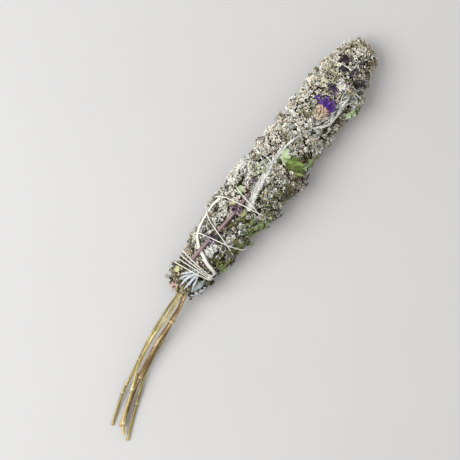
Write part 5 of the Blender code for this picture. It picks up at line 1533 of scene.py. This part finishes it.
def spike():
    heap = Heap()
    draw = np.random.default_rng(31)
    tree = tree_of(["basil_spike"])
    rows = resampled(BASIL_SPIKE, 0.6)
    rise = top_rise(tree, rows[:, 0], rows[:, 1])
    raised = np.min(np.abs(rows[:, :1] - np.array(WHORLS) - 2.0), axis=1) < 4.0
    keys = np.flatnonzero(~raised)
    rise = softened(np.interp(np.arange(len(rows)), keys, rise[keys]), 6)
    line = on_rows(rows, rise - SPIKE_DEPTH)
    sides = 24
    angle = round_angles(sides)
    # Painted highlights on the ridges and painted shade in the grooves, with random streaks
    ridge_light_groove_shade = 0.5 + 0.5 * np.cos(4 * angle)
    streaks = ridge_light_groove_shade[None] * 0.8 + 0.25 * draw.normal(0, 1, (len(rows), sides))
    # A rounded square section with a groove in each face
    shape = 1 + 0.16 * np.cos(4 * angle) - 0.05 * np.cos(8 * angle)
    radii = SPIKE_RADIUS * (1 + 0.04 * np.sin(rows[:, 0] * 1.3))
    tube(heap, line, radii, blend(*SPIKE_TONES, streaks), sides=sides, shape=shape)
    calyx = ovoid(CALYX, 10, draw, 0.12)
    shades = blend(*CALYX_TONES, np.clip(calyx[2], 0, 1))
    shades[calyx[2] > 1.5] = CALYX_MOUTH
    for whorl, hue in zip(WHORLS, WHORL_HUES):
        i = int(np.argmin(np.abs(rows[:, 0] - whorl)))
        tangent = unit(line[i + 2] - line[i - 2])
        normal = skin_normal(rows[i : i + 1, 0], rows[i : i + 1, 1])[0]
        side = np.cross(tangent, normal)
        for row, (ahead, reach, size) in enumerate(WHORL_ROWS):
            angle = math.tau * (np.arange(CALYXES) + 0.5 * row) / CALYXES
            radial = radials(angle + draw.uniform(-0.45, 0.45, CALYXES), side, normal)
            way = radial * draw.uniform(0.6, 1.1, (CALYXES, 1))
            way = unit(way + tangent * draw.uniform(0.3, 1.1, (CALYXES, 1)))
            places = line[i] + tangent * ahead + radial * reach * 0.8
            sizes = size * draw.uniform(0.62, 1.12, (CALYXES, 3)) * np.array((0.60, 0.60, 1.0))
            frames = frames_of(way, draw.uniform(0, 6, CALYXES))
            tints = shades[None] * hue * draw.uniform(0.65, 1.4, (CALYXES, 1, 1))
            spread(heap, calyx, places, frames, sizes, tints)
    hairs(heap, draw, rows, tree, 420, 0.9, 0.7, SPIKE_HAIR, thick=0.035)
    heap.piece("basil_spike", "stem", PETAL)


# Blooms

BLOOM = from_above((149.0, 3.0))[0]
BLOOM_TILT = 1.42
BLOOM_LIFT = 0.8
CUP_LENGTH = 10.0
CUP_FLATNESS = 0.9
CUP_BODY = colour(72, 54, 34)
CUP_ROWS, CUP_SCALES = 8, 11
CUP_RIM, CUP_OLIVE = colour(242, 226, 208), colour(116, 90, 66)
CUP_GROUND = pair(204, 186, 162, 230, 176, 142)
TUFT_RIBBONS = 300
TUFT_LEAN = 1.55
TUFT_DEEP, TUFT_VIVID, TUFT_LIGHT = colour(42, 22, 84), colour(100, 54, 172), colour(166, 118, 200)
LAVENDER_BLOOM = (172.0, 0.78)
PLUM_PETALS = (*from_above((188.5, -6.0), (178.5, 9.5)), (106.0, 1.28))
# Node, place, length and count of petals, and two colours
SMALL_BLOOMS = (
    ("violet_bloom", from_above((167.0, -1.6))[0], 2.5, 34, pair(58, 50, 70, 122, 108, 136)),
    ("lavender_bloom", LAVENDER_BLOOM, 2.9, 40, pair(132, 130, 142, 204, 202, 214)),
    ("plum_petals_1", PLUM_PETALS[0], 2.0, 24, pair(26, 22, 28, 66, 56, 68)),
    ("plum_petals_2", PLUM_PETALS[1], 1.9, 24, pair(28, 23, 32, 70, 60, 76)),
    ("plum_petals_3", PLUM_PETALS[2], 2.4, 28, pair(52, 30, 44, 112, 76, 96)),
)


def cup_radius(f):
    return 1.6 + 2.5 * np.sin(math.pi * (0.08 + 0.8 * f)) ** 0.8


def bloom_cup(heap, draw, base, axis, side, third):
    """A barrel under rows of pointed scales."""
    rings = [(v, cup_radius(v) / CUP_LENGTH * 0.9, 0) for v in np.linspace(0, 1, 14)]
    body = ovoid([(-0.02, 0, 0), *rings, (0.98, 0, 0)], 22, draw)
    frame_of_cup = np.stack([side, third * CUP_FLATNESS, axis], -1)[None]
    spread(heap, body, base[None], frame_of_cup, np.full((1, 3), CUP_LENGTH), CUP_BODY)
    scale = strap(7, leafy(0.4, 0.12), 0.09, curl=0.05, dish=-0.3)
    middle, end = smoothstep(scale[2] / 0.45), smoothstep((scale[2] - 0.6) / 0.3) * 0.8
    for row in range(CUP_ROWS):
        g = row / CUP_ROWS
        angle = math.tau * (np.arange(CUP_SCALES) + 0.5 * (row % 2)) / CUP_SCALES
        angle = angle + draw.uniform(-0.12, 0.12, CUP_SCALES)
        radial = radials(angle, side, third * CUP_FLATNESS)
        slope = (cup_radius(min(g + 0.15, 1)) - cup_radius(max(g - 0.05, 0))) / 2.0
        way = axis + radial * (slope * 0.5 + draw.uniform(0.1, 0.5, (CUP_SCALES, 1)))
        way = unit(way + draw.normal(0, 0.13, (CUP_SCALES, 3)))
        places = base + axis * (g * CUP_LENGTH) + radial * (cup_radius(g) * 0.9)
        sizes = np.array((1.3, 1.0, 3.2)) * draw.uniform(0.7, 1.25, (CUP_SCALES, 3))
        tints = blend(CUP_OLIVE, blend(*CUP_GROUND, g * 1.1 - 0.1), middle)
        tints = blend(tints, CUP_RIM, end)[None] * draw.uniform(0.62, 1.12, (CUP_SCALES, 1, 1))
        spread(heap, scale, places, frames_facing(way, unit(radial)), sizes, tints)


def forked(f):
    """Half widths of a ribbon that is cut off at its end."""
    return 0.45 + 0.55 * math.sin(math.pi * f) if f < 0.95 else 0.15


def bloom_tuft(heap, draw, base, axis, side, third):
    """Forked ribbons that spread out of the cup's mouth."""
    count = TUFT_RIBBONS
    middle = unit(axis - 0.33 * third)
    ribbon = strap(6, forked, 0.14, curl=0.25, dish=0.5)
    angle = draw.uniform(0, math.tau, count)
    lean = np.sqrt(draw.uniform(0, 1, count)) * TUFT_LEAN
    radial = radials(angle, side, third)
    way = unit(radials(lean, middle, radial))
    places = base + axis * (CUP_LENGTH - 0.4) + radial * draw.uniform(0, 2.5, (count, 1))
    length = draw.uniform(4.8, 9.8, count) * (1 - 0.34 * lean)
    length = length * (1 - 0.30 * np.clip(-way @ third, 0, 1))
    sizes = [draw.uniform(0.32, 0.55, count), draw.uniform(0.3, 0.6, count), length]
    shade = draw.uniform(0, 1, (count, 1))
    tints = blend(TUFT_DEEP, TUFT_VIVID, ribbon[2][None] * 0.9 + shade * 0.6)
    tints = blend(tints, TUFT_LIGHT, 1.5 * np.clip(shade - 0.5, 0, 1) * ribbon[2][None])
    frames = frames_facing(way, unit(radial + 0.1))
    spread(heap, ribbon, places, frames, np.stack(sizes, -1), tints)


def small_bloom(heap, draw, petal, node, place, radius, count, tones):
    """Crumpled petals on a short stalk."""
    centre = solid_of(node)[0].mean(0)
    normal = skin_normal(np.array([place[0]]), np.array([place[1]]))[0]
    first = unit(np.cross(normal, (0.3, 1.0, 0.1)))
    angle = draw.uniform(0, math.tau, count)
    lean = draw.uniform(0.25, 2.0, count)
    radial = radials(angle, first, np.cross(normal, first))
    way = unit(radials(lean, normal, radial))
    places = centre - normal * 0.7 + radial * draw.uniform(0, 0.8, (count, 1))
    sizes = [draw.uniform(0.4, 0.75, count), draw.uniform(0.5, 0.9, count)]
    sizes.append(radius * draw.uniform(0.6, 1.05, count))
    tints = blend(*tones, petal[2][None] * draw.uniform(0.3, 1.0, (count, 1)))
    frames = frames_facing(way, normal * np.ones((count, 3)))
    spread(heap, petal, places, frames, np.stack(sizes, -1), tints)
    stalk = centre - normal * np.linspace(4.2, 0.2, 6)[:, None]
    tube(heap, stalk, np.linspace(0.6, 1.1, 6), tones[0])


def blooms():
    draw = np.random.default_rng(41)
    along, turn = BLOOM
    foot = (along - CUP_LENGTH / 2, turn)
    _, way, _ = outward(*foot)
    axis = way * math.cos(BLOOM_TILT) + np.array((0, math.sin(BLOOM_TILT), 0))
    side = unit(np.cross((0, 1, 0), way))
    third = unit(np.cross(axis, side))
    base = on_skin(*foot, BLOOM_LIFT)
    middle = solid_of("bloom_cup")[0].mean(0)
    base = base + way * (np.dot(middle - base, third) / np.dot(way, third))
    cup, tuft = Heap(), Heap()
    bloom_cup(cup, draw, base, axis, side, third)
    cup.piece("bloom_cup", "scales", PETAL)
    bloom_tuft(tuft, draw, base, axis, side, third)
    tuft.piece("bloom_tuft", "petals", PETAL)
    petal = strap(5, leafy(0.6, 0.35), 0.1, curl=0.3, dish=0.5)
    for row in SMALL_BLOOMS:
        heap = Heap()
        small_bloom(heap, draw, petal, *row)
        heap.piece(row[0], "crumpled", PETAL)


# Stems

CHANNEL_FOOT = (2.0, 12.4)  # across and height where the stems leave the head
CHANNEL_STRAIGHT = 50.0
STEM_GUIDE_STEP = 14.0
STEM_SIDES = 20
KNOT_LENGTH = 1.6
KNOT_SWELL = 0.28
CUT_FACE = colour(224, 210, 170)
BROWNING = np.array((0.85, 0.72, 0.6))  # towards the cut ends
# Each stem's radius, how far up the head it runs, its seat in the channel, its nodes, its route
# of along, across and height, and the colours of its dark streaks, bark and pale streaks
STEMS = (
    dict(
        radius=0.9, top=45.0, seat=(-2.2, -1.2), knots=(-53.5, -72.6, -78.5),
        route=(
            (-16.5, 0.4, 11.3), (-40.3, 3.0, 8.7), (-64.0, 7.8, 5.6), (-77.9, 10.4, 3.6),
            (-90.5, 14.4, 2.0), (-101.4, 18.3, 0.95),
        ),
        colours=(colour(96, 82, 42), colour(164, 148, 92), colour(210, 198, 144)),
    ),
    dict(
        radius=1.1, top=80.0, seat=(-0.6, 2.2), knots=(-71.9, -94.4),
        route=(
            (-17.0, 3.3, 13.9), (-34.3, 3.9, 12.2), (-50.8, 6.5, 10.6), (-60.1, 9.0, 9.6),
            (-71.9, 14.3, 8.2), (-86.5, 19.5, 6.4), (-94.4, 23.4, 5.2), (-101.0, 28.2, 4.0),
        ),
        colours=(colour(116, 100, 54), colour(188, 172, 114), colour(230, 218, 172)),
    ),
    dict(
        radius=1.55, top=118.0, seat=(1.9, 0.2), knots=(-19.8, -62.7),
        route=(
            (-8.0, 6.0, 12.9), (-19.8, 7.3, 11.8), (-40.3, 9.3, 9.4), (-62.7, 13.4, 6.2),
            (-71.9, 15.7, 4.9), (-86.0, 19.7, 2.9), (-98.3, 23.6, 1.6),
        ),
        colours=(colour(78, 56, 34), colour(156, 126, 84), colour(222, 198, 154)),
    ),
    dict(
        radius=1.0, top=30.0, seat=(0.9, -2.6), knots=(-34.3, -79.2),
        route=(
            (-8.0, 6.3, 9.6), (-20.5, 8.25, 8.6), (-34.3, 10.6, 7.4), (-48.2, 12.5, 5.7),
            (-60.1, 15.3, 4.0), (-72.3, 20.0, 2.5), (-79.2, 22.6, 1.8), (-90.4, 27.2, 1.3),
            (-103.3, 32.8, 1.05),
        ),
        colours=(colour(92, 78, 42), colour(158, 142, 88), colour(206, 194, 142)),
    ),
)


def channel_middle(along):
    across, height, _, _ = head_at(along)
    f = smoothstep(along / CHANNEL_STRAIGHT)
    x, z = CHANNEL_FOOT
    return x + (across - x) * f, z + (height - z) * f


def round_noise(along, around, stretch, offset=0):
    """Smooth noise at the points of rings round a stem."""
    circle = [(math.cos(a) * around, math.sin(a) * around) for a in round_angles(STEM_SIDES)]
    rows = [[noise.noise(Vector((x, y * stretch, z + offset))) for x, z in circle] for y in along]
    return np.array(rows)


def most(parts):
    return np.max(list(parts), axis=0)


def stem(heap, radius, top, seat, knots, route, colours):
    dark, main, pale = colours
    guide = np.linspace(top, 0.0, max(int(top / STEM_GUIDE_STEP), 2) + 1)
    middle, height = channel_middle(guide)
    inside = np.stack([guide, middle + seat[0], height + seat[1]], -1)
    curve = spline_through([*inside.tolist(), *route])
    foot = route[-1][0]
    along = np.concatenate([np.linspace(top, 4, 20), np.arange(3, foot, -0.55), [foot]])
    place = curve(along)
    line = np.stack([place[:, 0], along, place[:, 1]], -1)
    swell = np.maximum(most(1 - np.abs(along - knot) / KNOT_LENGTH for knot in knots), 0)
    ring = most(np.exp(-(((along - knot + 0.9) / 0.35) ** 2)) for knot in knots)
    angle, even = round_angles(STEM_SIDES)[None], np.ones(STEM_SIDES)
    ridges = 0.035 * np.cos(7 * angle + 1)
    ridges = ridges + 0.025 * np.cos(11 * angle + 0.05 * along[:, None])
    shape = 1 + ridges + 0.05 * round_noise(along, 2, 0.35)
    streak, fleck = round_noise(along, 1.6, 0.09, 5), round_noise(along, 4, 0.8, 9)
    tint = blend(main, pale, 0.15 + 1.6 * streak)
    tint = blend(tint, dark, 0.1 - 1.5 * streak + 1.2 * np.maximum(fleck, 0) ** 2 * 4)
    tint = blend(tint, tint * BROWNING, smoothstep((-along - 30) / 70)[:, None] * 0.35)
    tint = blend(tint, pale * 1.05, (swell**2 * 0.8)[:, None] * even)
    tint = blend(tint, dark * 0.7, 0.8 * ring[:, None] * even)
    radii = radius * (1 + KNOT_SWELL * swell)
    tube(heap, line, radii, tint, sides=STEM_SIDES, shape=shape, caps=CUT_FACE)
    # Stubs of side shoots at the nodes
    for number, knot in enumerate(knots):
        i = int(np.argmin(np.abs(along - knot)))
        tangent = unit(line[i + 1] - line[i - 1])
        out = unit(np.cross(tangent, (0.2, 0.1, 1.0))) * (1 if number % 2 else -1)
        way = unit(out * 0.8 - tangent * 0.7)
        g = np.linspace(0, 1, 5)
        stub = line[i] + out * radius * 0.6 + way * g[:, None] * radius * 1.5
        tube(heap, stub, radius * 0.42 * (1 - 0.25 * g), main, caps=CUT_FACE)


def stems():
    for name, spec in zip(STEM_NAMES, STEMS):
        heap = Heap()
        stem(heap, **spec)
        heap.piece(name, "bark", BARK)


# The thread

THREAD = 0.35
THREAD_COLOUR = colour(240, 238, 228)
ROUND_SAG = 0.012  # how far a taut step of the thread falls below a round path
STRAIGHT_SAG = 0.2  # how far a straight piece between two points dips below the round head
TAUT_PASSES = 60
THREAD_STEP = 1.2
THREAD_STRIDE = 5  # steps between two points of the thread
THREAD_PROBE = 0.9
GAP = 0.32  # clear distance kept between touching pieces
LOWEST = -4.0  # rise above the skin that nothing lies below
PLY_PITCH = 1.7
HIDDEN_SINK = 1.0  # how far the thread sinks among the florets where it is hidden
STRIP_SINK = 1.5
# Along at each winding position, in turns from the top of the head
THREAD_WINDING = (
    (-0.13, 18.4), (0.24, 13.6), (0.87, 19.2), (1.24, 17.2), (1.87, 20.0), (2.24, 20.4),
    (2.87, 20.8), (3.24, 24.6), (4.0, 46.2), (4.5, 65.5), (5.0, 74.7), (5.5, 94.0), (6.0, 103.0),
    (6.5, 124.0), (7.0, 134.0), (7.5, 160.0), (8.0, 174.0), (8.5, 183.0), (9.0, 184.4),
    (9.5, 178.0), (10.0, 170.5), (10.5, 149.0), (11.0, 130.0), (11.5, 113.0), (12.0, 99.0),
    (12.5, 84.5), (13.0, 70.7), (13.5, 57.0), (14.0, 42.2), (14.5, 29.5), (14.87, 22.3),
)
THREAD_TOP_TURN = 9.1  # winding position where it starts down again
THREAD_KNOT = (20.2, math.radians(47.0))
THREAD_KNOT_SIZE = (1.5, 2.6, 1.2)
# Where the thread lies bare on top, as lines from above: along, across, along, across
BARE_THREAD = (
    (14.0, -15.0, 20.5, 10.0),
    (19.0, -15.0, 20.5, 10.0),
    (24.0, -13.0, 20.5, 10.0),
    (51.8, -19.1, 42.9, 14.4),
    (40.3, -5.9, 49.5, 15.4),
    (67.6, -12.5, 71.7, 2.2),
    (75.9, -7.3, 73.3, 6.6),
    (102.3, -9.2, 104.9, -5.3),
    (184.8, -6.6, 183.5, 0.8),
)
BARE_WIDTH = 2.4
BARE_FROM = 9  # height above which the thread can be bare


def winding(step):
    """Skin positions along the thread."""
    at = spline_through(THREAD_WINDING)
    first, last = THREAD_WINDING[0][0], THREAD_WINDING[-1][0]
    turns = np.linspace(first, last, int(160 * (last - first)))
    return evenly(np.stack([at(turns)[:, 0], -turns * math.tau], -1), step)


def taut_points(tree, rows):
    """Points of a taut thread over whatever lies in the tree."""
    _, _, reach = outward(rows[:, 0], rows[:, 1])
    count = len(rows)
    raw = np.full(count, LOWEST)
    for a in (-THREAD_PROBE, 0.0, THREAD_PROBE):
        for t in (-THREAD_PROBE, 0.0, THREAD_PROBE):
            raw = np.fmax(raw, cast_in(tree, rows[:, 0] + a, rows[:, 1] + t / reach)[0])
    ends = [(max(0, i - THREAD_STRIDE), i + THREAD_STRIDE + 1) for i in range(count)]
    raised = np.array([raw[start:end].max() for start, end in ends])
    need = [max(raised[i], raised[max(0, i - 1) : i + 2].mean()) for i in range(count)]
    taut = np.array(need)
    for _ in range(TAUT_PASSES):
        for i in range(1, count - 1):
            taut[i] = max(need[i], (taut[i - 1] + taut[i + 1]) / 2 - ROUND_SAG)
    picked = slice(None, None, THREAD_STRIDE)
    points = on_rows(rows[picked], taut[picked] + THREAD + GAP + STRAIGHT_SAG)
    points[:, 2] = np.maximum(points[:, 2], THREAD + 0.02)
    return points


def smooth_line(points, step):
    """A smooth line through points, evenly sampled."""
    run = run_along(points)
    curve = spline_through(np.concatenate([run[:, None], points], 1))
    return curve(np.linspace(0, run[-1], int(run[-1] / step) + 1))


def plied(heap, line, radius=THREAD):
    """Two strands twisted round each other along a line."""
    side, third = frames_along(line)
    run = run_along(line)
    for ply in (0, math.pi):
        offset = radials(run * math.tau / PLY_PITCH + ply, side, third)
        shade = 1 + 0.06 * np.sin(run * 0.7 + ply)[:, None]
        tube(heap, line + offset * radius * 0.5, radius * 0.6, THREAD_COLOUR * shade, sides=6)


def knot(heap):
    """A small tangle of the same thread, with two short ends."""
    points, _ = solid_of("binding_thread")
    near = points[np.linalg.norm(points - on_skin(*THREAD_KNOT), axis=1) < 5.5]
    wide, long, high = THREAD_KNOT_SIZE
    centre = on_skin(*THREAD_KNOT, unskin(near)[2].max() - high - 0.1)
    _, way, _ = outward(*THREAD_KNOT)
    ahead = np.array((0, 1, 0))
    side = unit(np.cross(ahead, way))
    t = np.linspace(0, math.tau, 160)

    def loop(across, along, up):
        line = centre + np.outer(across, side) + np.outer(along, ahead) + np.outer(up, way)
        plied(heap, line[:-2])

    across = (np.sin(t) + 1.6 * np.sin(2 * t)) * 0.5 * wide
    loop(across, (np.cos(t) - 1.6 * np.cos(2 * t)) * 0.3125 * long, -0.55 * np.sin(3 * t))
    loop(0.9 * np.sin(2 * t), 1.5 * np.cos(t), 0.8 * np.sin(t))
    g = np.linspace(0, 1, 20)[:, None]
    for sign in (1, -1):
        end = centre + way * (0.5 + 0.2 * g) + side * (0.6 + 1.4 * g)
        plied(heap, end + ahead * sign * (3.2 * g + 0.6 * np.sin(3 * g)), THREAD * 0.9)


def thread():
    others = [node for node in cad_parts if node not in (*STEM_NAMES, "binding_thread")]
    rows = winding(THREAD_STEP)
    top = int(np.argmax(rows[:, 1] < -THREAD_TOP_TURN * math.tau))
    top -= top % THREAD_STRIDE
    up = taut_points(tree_of(others), rows[: top + THREAD_STRIDE])[: top // THREAD_STRIDE + 1]
    laid = Heap()
    tube(laid, smooth_line(up, 0.8), THREAD, (1, 1, 1), sides=5)
    tree = tree_of(others, [(laid.points[0], laid.faces[0])])
    line = smooth_line(np.concatenate([up, taut_points(tree, rows[top:])[1:]]), 0.42)
    along, turn, rise = unskin(line)
    near = np.array([STRIP_TREE.find_nearest(Vector(p), 1.5)[0] is not None for p in line])
    sunk = np.where(is_bare(line), 0.0, np.where(near, STRIP_SINK, HIDDEN_SINK))
    heap = Heap()
    plied(heap, on_skin(along, turn, rise - softened(sunk, 8)))
    knot(heap)
    heap.piece("binding_thread", "plies", COTTON)


# Stage: floor, light and camera

FLOOR_SIZE = 6.0
FLOOR_TONES = pair(194, 193, 192, 199, 198, 197)
WORLD_TONE, WORLD_STRENGTH = (0.985, 0.985, 0.98, 1), 0.71
KEY_PLACE, KEY_TARGET = (-0.49, -0.46, 0.86), (0, 0.05, 0)
KEY_SIZE, KEY_POWER, KEY_TONE = 0.9, 10.9, (0.975, 0.985, 1.0)
VIEW_CENTRE = (1.65, 53.06)  # across and along
VIEW_WIDTH = 0.3036  # metres seen across the picture, at the stick's middle height
VIEW_HEIGHT = 0.02
VIEW_DISTANCE = 0.6
VIEW_TURN = 37.31
SENSOR = 36.0


def placed(name, data, place):
    made = bpy.data.objects.new(name, data)
    made.location = place
    bpy.context.scene.collection.objects.link(made)
    return made


def stage():
    scene = bpy.context.scene
    bpy.ops.mesh.primitive_plane_add(size=FLOOR_SIZE, location=(0, 0, -0.00005))
    floor = bpy.context.active_object
    floor.name = "floor"
    pale = bpy.data.materials.new("pale_floor")
    pale.use_nodes = True
    shader = pale.node_tree.nodes["Principled BSDF"]
    shader.inputs["Roughness"].default_value = 0.9
    grain = shader_node(pale, "TexNoise", Scale=60.0)
    shades = shader_node(pale, "ValToRGB")
    for stop, tone in zip(shades.color_ramp.elements, FLOOR_TONES):
        stop.color = (*tone, 1)
    pale.node_tree.links.new(grain.outputs["Fac"], shades.inputs["Fac"])
    pale.node_tree.links.new(shades.outputs["Color"], shader.inputs["Base Color"])
    floor.data.materials.append(pale)
    world = bpy.data.worlds.new("soft_room")
    world.use_nodes = True
    background = world.node_tree.nodes["Background"]
    background.inputs["Color"].default_value = WORLD_TONE
    background.inputs["Strength"].default_value = WORLD_STRENGTH
    scene.world = world
    light = bpy.data.lights.new("key", "AREA")
    light.shape = "DISK"
    light.size, light.energy, light.color = KEY_SIZE, KEY_POWER, KEY_TONE
    aim = (Vector(KEY_TARGET) - Vector(KEY_PLACE)).to_track_quat("-Z", "Y")
    placed("key", light, KEY_PLACE).rotation_euler = aim.to_euler()
    scene.view_settings.view_transform = "Standard"
    lens = bpy.data.cameras.new("camera")
    lens.sensor_width = SENSOR
    lens.lens = SENSOR * VIEW_DISTANCE / VIEW_WIDTH
    x, y = ((np.array(VIEW_CENTRE) - ORIGIN[:2]) * MM).tolist()
    scene.camera = placed("camera", lens, (x, y, VIEW_HEIGHT + VIEW_DISTANCE))
    scene.camera.rotation_euler = (0, 0, math.radians(VIEW_TURN))


stage()
sprays()
leaves()
silver_leaves()
strip()
sprig()
spike()
blooms()
stems()
thread()
